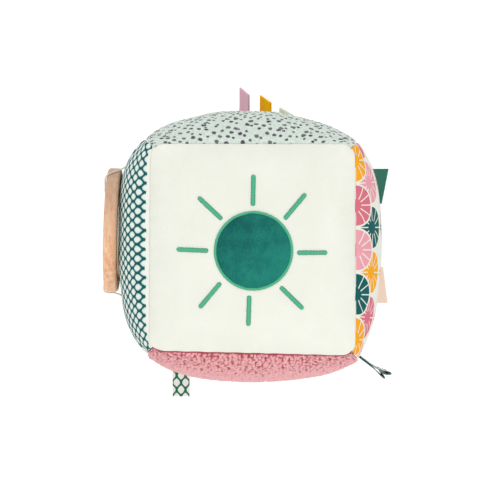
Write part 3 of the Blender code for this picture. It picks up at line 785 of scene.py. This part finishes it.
def add_filling(name, side, finish):
    """Half of the filling: rings of points down its outside from the pole to the middle plane, in
    along that plane, and back up the rattle's pocket to the pole."""
    turn = np.linspace(0, 2 * np.pi, filling_turns, endpoint=False)[None, :]
    rise = np.linspace(np.pi / 2, 0.004, filling_rings)[:, None]
    direction = np.stack(
        np.broadcast_arrays(
            np.cos(rise) * np.cos(turn), np.cos(rise) * np.sin(turn), side * np.sin(rise)
        ),
        axis=-1,
    )
    reach, seam = skin_distance(direction)
    lumps = filling_lumps * waves(turn * 0.02 * np.cos(rise), rise * 0.05, 0.006, 71)
    reach = reach - filling_gap + lumps - filling_groove * (1 - smooth_step(seam / 0.012))
    outside = direction * reach[..., None]
    flat = outside[-1:] * [1, 1, 0]
    rim = pocket_radius * direction[-1:] * [1, 1, 0]
    share = np.array([0.0, 0.35, 0.7, 1.0])[:, None, None]
    level = flat * (1 - share) + rim * share + side * 0.00015 * np.array([0, 0, 1.0])
    pocket = pocket_radius * direction[::-3] + side * 0.00015 * np.array([0, 0, 1.0])
    pole = pocket_radius * direction[:1] + side * 0.00015 * np.array([0, 0, 1.0])
    rings = middle + np.concatenate([outside, level, pocket[1:], pole])
    rows = len(rings)
    numbers = np.arange(rows * filling_turns).reshape(rows, filling_turns)
    wrapped = np.concatenate([numbers, numbers[:, :1]], axis=1)
    quads = np.stack([wrapped[:-1, :-1], wrapped[1:, :-1], wrapped[1:, 1:], wrapped[:-1, 1:]], axis=-1)
    return put_mesh(name, rings, quads.reshape(-1, 4).tolist(), finish)


fibre = new_finish("combed fibre", {"Roughness": 1.0, "Specular IOR Level": 0.2})
on_fibre = fibre.node("TexCoord", {}, {}, "Object")
tangle = fibre.noise(on_fibre, 260, 6.0, (1.0, 1.0, 3.0))
fibre.feed(
    fibre.shader, {"Base Color": fibre.mixed(tangle, dyed(225, 225, 220), dyed(250, 250, 246))}
)
fibre.feed(fibre.shader, {"Normal": fibre.raised(tangle, 0.0008)})
for name, side in (("filling_front", 1), ("filling_back", -1)):
    filling = add_filling(name + "_fibre", side, fibre)
    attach(filling, "block")
    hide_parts(name)

# The rattle: a ball of two moulded halves in blue plastic, with five steel beads inside. It lies
# loose in the filling's hollow and doesn't show from outside.
moulded = new_finish("rattle plastic", {"Roughness": 0.38})
on_ball = moulded.node("TexCoord", {}, {}, "Object")
flow = moulded.noise(on_ball, 90, 3.0)
moulded.feed(moulded.shader, {"Base Color": moulded.mixed(flow, dyed(110, 165, 195), dyed(128, 180, 208))})
moulded.feed(moulded.shader, {"Normal": moulded.raised(moulded.noise(on_ball, 1500), 0.00002)})
steel = new_finish("bead steel", {"Metallic": 1.0, "Base Color": dyed(196, 198, 202)})
on_bead = steel.node("TexCoord", {}, {}, "Object")
steel.feed(steel.shader, {"Roughness": 0.22 + 0.2 * steel.noise(on_bead, 900, 3.0)})


def refinish(node, finish):
    """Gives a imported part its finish."""
    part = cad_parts[node]
    part.data.materials.clear()
    part.data.materials.append(finish.owner)


for node in ("rattle_cup", "rattle_lid"):
    refinish(node, moulded)
for bead in range(5):
    refinish(f"rattle_bead_{bead + 1}", steel)

# The sun: a disc of crushed teal velvet laid on the panel, bound by a ring of satin stitches in
# green rayon thread, with eight satin-stitched rays around it.
sun_across = 0.0006
sun_up = -0.0010
sun_radius = 0.0213
border_width = 0.0018
ray_width = 0.0025
stitch_height = 0.0009
thread_pitch = 0.00040
samples_a_thread = 6
disc_cloth = 0.0008

# Each ray's inner and outer end: how far off its eighth of the circle, in degrees, clockwise, and
# how far from the sun's centre. They are drawn one by one.
ray_ends = (
    ((0.9, 0.1), (0.0240, 0.0410)),
    ((0.8, 2.6), (0.0236, 0.0416)),
    ((-2.6, -1.4), (0.0233, 0.0396)),
    ((-8.4, -4.6), (0.0240, 0.0411)),
    ((-5.6, -4.0), (0.0240, 0.0405)),
    ((-1.0, 1.5), (0.0245, 0.0424)),
    ((-0.1, -1.1), (0.0242, 0.0415)),
    ((0.2, 0.9), (0.0238, 0.0414)),
)


def on_sun(radius, angle, height):
    """A point of the sun panel by its distance and direction from the sun's centre."""
    x, y, lift = np.broadcast_arrays(
        sun_across + radius * np.cos(angle), sun_up + radius * np.sin(angle), height
    )
    return on_cloth(sun_panel, x, y, lift)


def tube_faces(rings, size, closed):
    """Quads between rings of points, and a flat face at each end of a tube that isn't closed."""
    numbers = np.arange(rings * size).reshape(rings, size)
    wrapped = np.concatenate([numbers, numbers[:, :1]], axis=1)
    if closed:
        wrapped = np.concatenate([wrapped, wrapped[:1]])
    quads = np.stack([wrapped[:-1, :-1], wrapped[:-1, 1:], wrapped[1:, 1:], wrapped[1:, :-1]], axis=-1)
    faces = quads.reshape(-1, 4).tolist()
    if not closed:
        faces += [tuple(range(size))[::-1], tuple(range((rings - 1) * size, rings * size))]
    return faces


disc_radius = sun_radius - border_width * 0.75
disc_share = np.concatenate([np.linspace(0, 1, 40), np.linspace(0.99, 0, 12)])[:, None]
disc_height = np.concatenate([np.full(39, 1.0), [0.6], np.full(12, -0.2)])[:, None] * disc_cloth
disc_turn = np.linspace(0, 2 * np.pi, 160, endpoint=False)[None, :]
crush = 0.00018 * waves(
    disc_radius * disc_share * np.cos(disc_turn), disc_radius * disc_share * np.sin(disc_turn), 0.008, 81
)
disc_points = on_sun(disc_radius * disc_share, disc_turn, disc_height + crush * (disc_height > 0))

disc_velvet = new_finish("teal velvet", {"Roughness": 0.9, "Specular IOR Level": 0.25})
disc_velvet.feed(disc_velvet.shader, {"Sheen Weight": 0.2, "Sheen Roughness": 0.4})
disc_velvet.feed(disc_velvet.shader, {"Sheen Tint": dyed(120, 220, 200)})
on_disc = disc_velvet.node("TexCoord", {}, {}, "Object")
disc_x, disc_y, _ = parts_of(disc_velvet, on_disc)
crushed = disc_velvet.noise(on_disc, 130, 4.0, (1.0, 0.8, 1.0))
disc_nap = disc_velvet.noise(on_disc, 1500, 2.0)
# Painted light: besides the crushed nap's random tone, the disc is lit towards its lower right and shaded
# towards its upper left.
crush_and_painted_light = crushed * 0.8 + disc_nap * 0.6 + (disc_x - disc_y) * 5.0 - 0.22
disc_colour = disc_velvet.mixed(crush_and_painted_light.between(0.15, 0.85), dyed(6, 90, 84), dyed(30, 136, 120))
disc_velvet.feed(disc_velvet.shader, {"Base Color": disc_colour})
disc_velvet.feed(disc_velvet.shader, {"Normal": disc_velvet.raised(disc_nap + crushed, 0.00012)})
sun_disc = put_mesh("sun_disc_velvet", disc_points, tube_faces(*disc_points.shape[:2], False), disc_velvet)
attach(sun_disc, "block")
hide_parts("sun_disc")

rayon = new_finish("satin stitches", {"Roughness": 0.42, "Specular IOR Level": 0.5})
# Painted light: the stitches are coloured lighter on the tops of their threads and darker on the flanks and
# between threads.
rayon_painted_light = read_mark(rayon, "stitch", "Fac")
rayon_colour = rayon.mixed(rayon_painted_light.between(0.1, 0.95), dyed(24, 124, 92), dyed(76, 188, 144))
rayon.feed(rayon.shader, {"Base Color": rayon_colour})


def satin(width, length, threads, seed):
    """A bar of threads laid side by side across it. Returns along, side and height for rings of
    points, with how high each lies from 0 to 1: the bar's half ellipse times the threads' ripple
    sqrt|sin|. Each thread is a little longer or shorter than the next."""
    draw = np.random.default_rng(seed)
    count = threads * samples_a_thread
    step = (np.arange(count) + 0.5) / samples_a_thread
    reach = draw.uniform(0.92, 1.08, threads)[step.astype(int) % threads]
    ripple = np.sqrt(abs(np.sin(np.pi * step)))
    turn = np.linspace(0, 2 * np.pi, 16, endpoint=False)[None, :]
    round_share = np.sin(turn)
    side = width / 2 * np.cos(turn) * (reach * (0.9 + 0.1 * ripple))[:, None]
    height = np.where(round_share > 0, round_share, round_share * 0.25)
    height = stitch_height * height * (0.72 + 0.28 * ripple)[:, None]
    along = (length * step / threads)[:, None] + 0.12 * side
    # The level is what the stitches' colour uses as painted highlight and painted shade.
    level = np.clip(round_share, 0, 1) * (0.35 + 0.65 * ripple)[:, None]
    return along, side, height, level


border_middle = sun_radius - border_width / 2
border_length = 2 * np.pi * border_middle
along, side, height, level = satin(border_width, border_length, round(border_length / thread_pitch), 91)
border_points = on_sun(border_middle + side, along / border_middle, height)
sun_border = put_mesh(
    "sun_border_stitches", border_points, tube_faces(*border_points.shape[:2], True), rayon,
    [("stitch", level)],
)
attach(sun_border, "block")
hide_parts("sun_border")

for ray, (turns, reaches) in enumerate(ray_ends):
    turn = math.pi / 2 - ray * math.pi / 4 + np.radians(turns)
    start, end = (np.stack([np.cos(turn), np.sin(turn)]) * reaches).T
    ray_length = math.dist(start, end)
    ahead = (end - start) / ray_length
    threads = round(ray_length / thread_pitch)
    along, side, height, level = satin(ray_width, ray_length, threads, 101 + ray)
    along = np.clip(along, 0, ray_length)
    to_end = np.minimum(along, ray_length - along) / (ray_width / 2)
    rounding = np.sqrt(1 - (1 - np.clip(to_end, 0.02, 1)) ** 2)
    side, height = side * rounding, height * rounding
    x = start[0] + along * ahead[0] - side * ahead[1]
    y = start[1] + along * ahead[1] + side * ahead[0]
    ray_points = on_sun(np.hypot(x, y), np.arctan2(y, x), height)
    sun_ray = put_mesh(
        f"sun_ray_{ray + 1}_stitches", ray_points, tube_faces(*ray_points.shape[:2], False), rayon,
        [("stitch", level)],
    )
    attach(sun_ray, "block")
    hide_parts(f"sun_ray_{ray + 1}")

# The wooden ring: 70 mm of beech, turned with rounded edges, sanded and oiled. The grain runs
# straight across the board that it was cut from. It hangs on the net panel, edge-on to the front.
ring_diameter = 0.0700
ring_hole = 0.0500
ring_thickness = 0.0075
ring_round = 0.0017
ring_lean = math.radians(1.8)
ring_centre = np.array([-0.07865, 0.0107, 0.0725])
ring_axis = np.array([-math.cos(ring_lean), math.sin(ring_lean), 0])
ring_rise = np.array([math.sin(ring_lean), math.cos(ring_lean), 0])
up_axis = np.array([0.0, 0.0, 1.0])


def about_ring(radius, angle, height):
    """A point by its distance from the ring's axis, its angle from the ring's upper end towards
    the front, and its distance out along the axis."""
    rise, front, out = np.broadcast_arrays(radius * np.cos(angle), radius * np.sin(angle), height)
    parts = rise[..., None] * ring_rise + front[..., None] * up_axis + out[..., None] * ring_axis
    return ring_centre + parts


def rounded_section(low, high, half_height, rounding, count):
    """Radius and height round a rectangle with round corners."""
    turn = np.linspace(0, np.pi / 2, count)
    quarters = []
    for number, (side, end) in enumerate(((1, 1), (-1, 1), (-1, -1), (1, -1))):
        centre = (high - rounding) if side > 0 else (low + rounding)
        swept = turn + number * np.pi / 2
        radius = centre + rounding * np.cos(swept)
        height = end * (half_height - rounding) + rounding * np.sin(swept)
        quarters.append(np.stack([radius, height]))
    return np.concatenate(quarters, axis=1)


section_radius, section_height = rounded_section(
    ring_hole / 2, ring_diameter / 2, ring_thickness / 2, ring_round, 9
)
ring_turn = np.linspace(0, 2 * np.pi, 200, endpoint=False)[:, None]
ring_points = about_ring(section_radius[None, :], ring_turn, section_height[None, :])

beech = new_finish("oiled beech", {"Roughness": 0.5, "Specular IOR Level": 0.35})
on_wood = beech.node("TexCoord", {}, {}, "Object")
bands = beech.noise(on_wood, 420, 3.0, (1.0, 0.10, 1.0))
pores = beech.noise(on_wood, 2600, 2.0, (1.0, 0.06, 1.0))
flecks = beech.noise(on_wood, 1300, 1.0, (1.0, 0.22, 0.6))
wood_colour = beech.mixed(bands.between(0.3, 0.7), dyed(240, 177, 136), dyed(255, 211, 172))
wood_y = parts_of(beech, on_wood)[1]
# Painted shade: the wood turns greyer towards the ring's upper end.
painted_shade_upper_end = (wood_y + bands * 0.01).between(-0.004, 0.052)
wood_colour = beech.mixed(painted_shade_upper_end * 0.6, wood_colour, dyed(168, 144, 130))
wood_colour = beech.mixed(flecks.between(0.62, 0.74) * 0.55, wood_colour, dyed(184, 128, 88))
wood_colour = beech.mixed(pores.between(0.60, 0.78) * 0.45, wood_colour, dyed(176, 122, 84))
beech.feed(beech.shader, {"Base Color": wood_colour, "Roughness": 0.45 + 0.15 * pores})
beech.feed(beech.shader, {"Normal": beech.raised(pores, -0.00006)})
wooden_ring = put_mesh("wooden_ring_beech", ring_points, tube_faces(*ring_points.shape[:2], True), beech)
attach(wooden_ring, "ring")
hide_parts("wooden_ring")

# The ring's loops: two loops of twisted cream thread, sewn through the net panel outside the ring
# and inside its hole. They hold the ring so loosely that it can be turned and pulled a little.
loop_slack = 0.00015
loop_foot_outside = 0.0030
loop_foot_inside = 0.0028
loop_radius = 0.00045
loop_ply = 3
loop_lay = 0.0028
loop_feet_sink = 0.0012


def foot_on_net(radius, angle, lift):
    """Where a loop meets the net panel, at this distance from the ring's axis."""
    flat = about_ring(radius, angle, 0.0) - middle
    return on_cloth(net_panel, -flat[1], flat[2], lift)


def smooth_route(points, samples):
    """A Catmull-Rom curve through the points, with as many samples between each two."""
    points = np.array(points)
    ends = np.concatenate([[2 * points[0] - points[1]], points, [2 * points[-1] - points[-2]]])
    before, start, end, after = (part[:, None] for part in (ends[:-3], ends[1:-2], ends[2:-1], ends[3:]))
    step = (np.arange(samples) / samples)[None, :, None]
    curve = 2 * start + (end - before) * step
    curve = curve + (2 * before - 5 * start + 4 * end - after) * step**2
    curve = curve + (3 * start - before - 3 * end + after) * step**3
    return np.concatenate([curve.reshape(-1, 3) / 2, points[-1:]])


def twisted(route, radius, ply, lay, around=18):
    """Rings of points round a route: threads of a ply, wound once in each lay, stand out from the
    cord's core by |cos| of half the angle times the ply."""
    ahead = np.gradient(route, axis=0)
    bow = np.cross(ahead, np.gradient(ahead, axis=0)).sum(axis=0)
    ahead = ahead / np.linalg.norm(ahead, axis=-1, keepdims=True)
    flat = np.cross(ahead, bow)
    flat = flat / np.linalg.norm(flat, axis=-1, keepdims=True)
    other = np.cross(ahead, flat)
    length = np.concatenate([[0], np.cumsum(np.linalg.norm(np.diff(route, axis=0), axis=-1))])
    turn = np.linspace(0, 2 * np.pi, around, endpoint=False)[None, :]
    wound = turn - 2 * np.pi * length[:, None] / lay
    reach = radius * (0.74 + 0.26 * abs(np.cos(wound * ply / 2)))
    rings = route[:, None] + (reach * np.cos(turn))[..., None] * flat[:, None]
    return rings + (reach * np.sin(turn))[..., None] * other[:, None]


cord_cotton = new_finish("cream thread", {"Roughness": 0.8, "Specular IOR Level": 0.3})
on_cord = cord_cotton.node("TexCoord", {}, {}, "Object")
lint = cord_cotton.noise(on_cord, 2600, 3.0)
cord_cotton.feed(
    cord_cotton.shader, {"Base Color": cord_cotton.mixed(lint, dyed(214, 206, 186), dyed(244, 240, 224))}
)
cord_cotton.feed(cord_cotton.shader, {"Normal": cord_cotton.raised(lint, 0.00008)})
gap = loop_radius + loop_slack
rim, hole, half = ring_diameter / 2, ring_hole / 2, ring_thickness / 2
over_ring = [
    (rim + gap, -half / 2),
    (rim + gap, half / 2),
    (rim - ring_round / 4, half + gap * 0.8),
    ((rim + hole) / 2, half + gap),
    (hole + ring_round / 4, half + gap * 0.8),
    (hole - gap, half / 2),
]
loop_slant = np.array([0.0, 0.35, 0.65, 0.9, 1.0, 1.0, 1.0, 1.0])
for name, first, last in (("upper_ring_loop", 15, 35), ("lower_ring_loop", 182, 182)):
    turns = np.radians(first + (last - first) * loop_slant)
    route = [about_ring(radius, turn, height) for (radius, height), turn in zip(over_ring, turns[1:])]
    route.insert(0, foot_on_net(rim + loop_foot_outside, turns[0], -loop_feet_sink))
    route.append(foot_on_net(hole - loop_foot_inside, turns[-1], -loop_feet_sink))
    rings = twisted(smooth_route(route, 16), loop_radius, loop_ply, loop_lay)
    loop = put_mesh(name + "_thread", rings, tube_faces(*rings.shape[:2], False), cord_cotton)
    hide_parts(name)
    panel_level = foot_on_net(rim + loop_foot_outside, turns[0], 0.0)
    tuple(panel_level + 0.0045 * ring_axis)
    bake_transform(loop)

# The ribbon tabs: lengths of ribbon folded in two, their cut ends sewn into the back seams. Three
# narrow ones of corded ribbon stand at the dotted panel, and two broad ones at the scallop panel.
ribbon_thickness = 0.0004
fold_gap = 0.0003
tab_root = 0.0008
tab_bend = 0.0140
tab_start = math.radians(-45)
twist_share = 0.7
narrow_ribbon = 0.0115
net_ribbon = 0.0100
broad_ribbon = 0.0215
cord_pitch = 0.0010
cords_inside = 0.46


@dataclass
class Tab:
    """A folded ribbon. side is the direction in which it points, and place_share is its place along
    its seam, from -1 to 1. It leaves the seam downwards, curves up to its lift, and turns about
    its own length by its twist. skew is how much longer it is at its second edge, and cords how
    high the cords along it stand."""

    name: str
    side: tuple
    place_share: float
    width: float
    length: float
    lift: float
    twist: float
    skew: float
    cords: float

    def seat(self):
        """The point of the seam that the tab is sewn into."""
        side = np.array([*self.side, 0.0])
        return middle + half_sizes * (side - up_axis + self.place_share * np.cross(side, up_axis))


def hairpin(length):
    """Along, lift and the outer side's direction on a ribbon's middle line, out, round and back."""
    half_gap = (ribbon_thickness + fold_gap) / 2
    count = round(length / 0.0006)
    run = np.linspace(tab_root, length, count)
    turn = np.linspace(0, np.pi, 14)[1:-1]
    flat, ones = np.zeros(count), np.ones(count)
    out = [run, ones * half_gap, flat, ones]
    fold = [length + half_gap * np.sin(turn), half_gap * np.cos(turn), np.sin(turn), np.cos(turn)]
    back = [run[::-1], -ones * half_gap, flat, -ones]
    return np.concatenate([np.stack(part) for part in (out, fold, back)], axis=1)


def tab_points(tab, along, lift, side):
    """Carries points given along the tab, off its middle line and across it onto the tab's path:
    its direction climbs from tab_start to the tab's lift within tab_bend, then stays."""
    outward = np.array([*tab.side, 0.0])
    width_axis = np.cross(outward, up_axis)
    along = along * (1 + tab.skew * side / tab.length)
    climb = np.clip(along / tab_bend, 0, 1)
    turn = tab.lift - tab_start
    direction = tab_start + turn * climb
    radius = tab_bend / turn
    straight = np.maximum(along - tab_bend, 0)
    reach = radius * (np.sin(direction) - math.sin(tab_start)) + straight * math.cos(tab.lift)
    rise = radius * (math.cos(tab_start) - np.cos(direction)) + straight * math.sin(tab.lift)
    normal = -np.sin(direction)[..., None] * outward + np.cos(direction)[..., None] * up_axis
    twist = tab.twist * smooth_step((along - tab_root) / (tab.length * twist_share))
    sideways = side * np.cos(twist) - lift * np.sin(twist)
    upwards = side * np.sin(twist) + lift * np.cos(twist)
    return (
        tab.seat()
        + reach[..., None] * outward
        + rise[..., None] * up_axis
        + sideways[..., None] * width_axis
        + upwards[..., None] * normal
    )


def put_ribbon(name, rings, mark, finish, seat, outward):
    """The tab as a closed sheet. The mark ribbon holds how far along it and across it a point is,
    and 1 where the ribbon's edge shows."""
    ribbon = put_mesh(
        name + "_ribbon", rings, tube_faces(*rings.shape[:2], False), finish, [("ribbon", mark)]
    )
    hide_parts(name)
    bent = tuple(seat + 0.009 * outward)
    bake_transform(ribbon)
    return ribbon


def add_tab(tab, finish):
    """Carries the ribbon's two skins, half its thickness off its middle line, along the hairpin.
    Cords along it swell both skins by |sin|, except beside its edges."""
    along, lift, out_along, out_lift = (column[:, None] for column in hairpin(tab.length))
    steps = np.hypot(np.diff(along, axis=0), np.diff(lift, axis=0))
    travelled = np.concatenate([[[0]], np.cumsum(steps, axis=0)])
    columns = np.linspace(-0.5, 0.5, 5 * round(tab.width / cord_pitch) + 1)
    side = np.concatenate([columns, columns[::-1]])[None, :] * tab.width
    swell = tab.cords * abs(np.sin(np.pi * side / cord_pitch)) * (abs(side) < tab.width * cords_inside)
    skin = np.repeat([1, -1], len(columns))[None, :]
    face = skin * (ribbon_thickness / 2 + swell)
    rings = tab_points(tab, *np.broadcast_arrays(along + face * out_along, lift + face * out_lift, side))
    mark = np.stack(np.broadcast_arrays(travelled, side, 0.0), axis=-1)
    outward = np.array([*tab.side, 0.0])
    ribbon = put_ribbon(tab.name, rings, mark, finish, tab.seat(), outward)


def ribbon_finish(name, colour, shade, cord_height):
    """Woven ribbon: cords along it, with painted shade in the grooves between them."""
    finish = new_finish(name, {"Roughness": 0.75, "Specular IOR Level": 0.12})
    place = read_mark(finish, "ribbon")
    run, across, _ = parts_of(finish, place)
    cord = abs((across * (math.pi / cord_pitch)).sine())
    weave = finish.noise(place, 1800, 2.0)
    # Painted shade: between the cords the colour is darkened by the factor shade.
    painted_groove_shade = tuple(shade * part for part in colour)
    body = finish.mixed((cord * 0.8 + weave * 0.4).between(0.2, 0.8), painted_groove_shade, colour)
    finish.feed(finish.shader, {"Base Color": body})
    finish.feed(finish.shader, {"Normal": finish.raised(cord + weave * 0.3, cord_height)})
    return finish


mauve = ribbon_finish("mauve ribbon", dyed(242, 190, 208), 0.8, 0.00012)
mustard = ribbon_finish("mustard ribbon", dyed(255, 194, 0), 1.0, 0.00004)
mint_green = ribbon_finish("mint ribbon", dyed(240, 255, 252), 0.96, 0.00004)
top_lift = math.radians(29)
mauve_tab = Tab("mauve_tab", (0, 1), -0.079, narrow_ribbon, 0.0388, top_lift, math.radians(64), 0.0, 0.00006)
mustard_tab = Tab("mustard_tab", (0, 1), 0.1436, narrow_ribbon, 0.0338, top_lift, math.radians(59), 0.0, 0.0)
mint_tab = Tab("mint_tab", (0, 1), 0.359, narrow_ribbon, 0.0262, top_lift, math.radians(53), 0.0, 0.0)
add_tab(mauve_tab, mauve)
add_tab(mustard_tab, mustard)
add_tab(mint_tab, mint_green)

# The two broad tabs, of thin satin ribbon in leaf green and in peach, are folded square and stand
# out sideways from the scallop panel's back seam.
leaf = ribbon_finish("green ribbon", dyed(58, 124, 104), 0.9, 0.00004)
peach = ribbon_finish("peach ribbon", dyed(252, 232, 216), 0.95, 0.00003)
broad_length = 0.0240
green_tab = Tab(
    "green_tab", (1, 0), -0.6446, broad_ribbon, broad_length,
    lift=math.radians(20), twist=math.radians(18), skew=-0.1, cords=0.0,
)
peach_tab = Tab(
    "peach_tab", (1, 0), 0.3746, broad_ribbon, broad_length,
    lift=math.radians(10), twist=math.radians(-12), skew=0.1, cords=0.0,
)
add_tab(green_tab, leaf)
add_tab(peach_tab, peach)

# The net tab: a ribbon of the net print, folded in two, that lies flat at the teddy panel.
net_ground = dyed(246, 255, 250)
net_green = dyed(18, 116, 74)
net_painted_edge_shade = dyed(70, 116, 112)
net_print = new_finish("net ribbon", {"Roughness": 0.7, "Specular IOR Level": 0.3})
on_tab = read_mark(net_print, "ribbon")
run, across, painted_edge_mask = parts_of(net_print, on_tab)
wander = net_print.noise(on_tab, 900, 2.0)
distance = net_distance(net_print, across, run - 0.001) + (wander - 0.5) * 0.0002
line = 1 - distance.between(net_line * 0.27, net_line * 0.46)
colour = net_print.mixed(line, net_ground, net_green)
# Painted shade: on the corner tab's upper edge the ribbon is coloured dark grey-teal.
net_print.feed(net_print.shader, {"Base Color": net_print.mixed(painted_edge_mask, colour, net_painted_edge_shade)})
threads = woven(net_print, on_tab, cotton_weave)
net_print.feed(net_print.shader, {"Normal": net_print.raised(threads, 0.00006)})
net_tab = Tab("net_tab", (0, -1), 0.754, net_ribbon, 0.0308, math.radians(4), 0.0, 0.0, 0.0)
add_tab(net_tab, net_print)

# The corner tab: the same ribbon, standing on edge in the upright seam just above the back corner.
# Its folded end is pushed in between two lobes. The route is its middle line from above, as
# shares of the tab's length out of the seam and towards the scallop panel.
corner_tab_length = 0.0290
corner_tab_rise = 0.0035
corner_tab_side = np.array([0.8, -0.6, 0.0])
corner_route_shares = (
    (-0.016, -0.011),
    (0.06, -0.013),
    (0.30, -0.014),
    (0.60, -0.015),
    (0.72, -0.028),
    (0.80, -0.042),
    (0.875, -0.049),
    (0.912, -0.040),
    (0.885, -0.018),
    (0.830, 0.004),
    (0.880, 0.030),
    (0.935, 0.062),
    (0.964, 0.092),
    (0.935, 0.114),
    (0.87, 0.090),
    (0.80, 0.057),
    (0.71, 0.026),
    (0.60, 0.015),
    (0.30, 0.014),
    (0.06, 0.013),
    (-0.016, 0.011),
)
edge_columns = 21
# How far the lobes open sideways, at the ribbon's lower edge and at its upper edge
lobe_shares = (0.8, 1.1)

flat_route = smooth_route([(*shares, 0.0) for shares in corner_route_shares], 16)[:, :2] * corner_tab_length
ahead = np.gradient(flat_route, axis=0)
ahead = ahead / np.linalg.norm(ahead, axis=1)[:, None]
face = np.stack([-ahead[:, 1], ahead[:, 0]], axis=1) * ribbon_thickness / 2
travelled = np.concatenate([[0], np.cumsum(np.linalg.norm(np.diff(flat_route, axis=0), axis=1))])
heights = np.concatenate([[0, 0.02], np.linspace(0.05, 0.95, edge_columns - 4), [0.98, 1]]) * net_ribbon
heights = middle[2] - half_sizes[2] + corner_tab_rise + heights
seats = panel_points(scallop_panel, -np.ones(edge_columns), (heights - middle[2]) / half_sizes[2], 0.0)
aside = np.cross(up_axis, corner_tab_side)
opened = np.linspace(*lobe_shares, edge_columns)
skins = []
for side in (1, -1):
    open_side = flat_route[:, 1, None] * opened + side * face[:, 1, None]
    spread = (flat_route + side * face)[:, 0, None, None] * corner_tab_side + open_side[..., None] * aside
    skins.append((seats + spread)[:, ::side])
rings = np.concatenate(skins, axis=1)
across = (heights - heights.mean())[None, :]
across = np.concatenate([across, across[:, ::-1]], axis=1)
# The mark's third number is 1 along the ribbon's upper edge, which the net print colours as painted shade.
mark = np.stack(np.broadcast_arrays(travelled[:, None], across, across > net_ribbon * 0.495), axis=-1)
corner_tab = put_ribbon(
    "corner_tab", rings, mark, net_print, seats[edge_columns // 2], corner_tab_side,
)
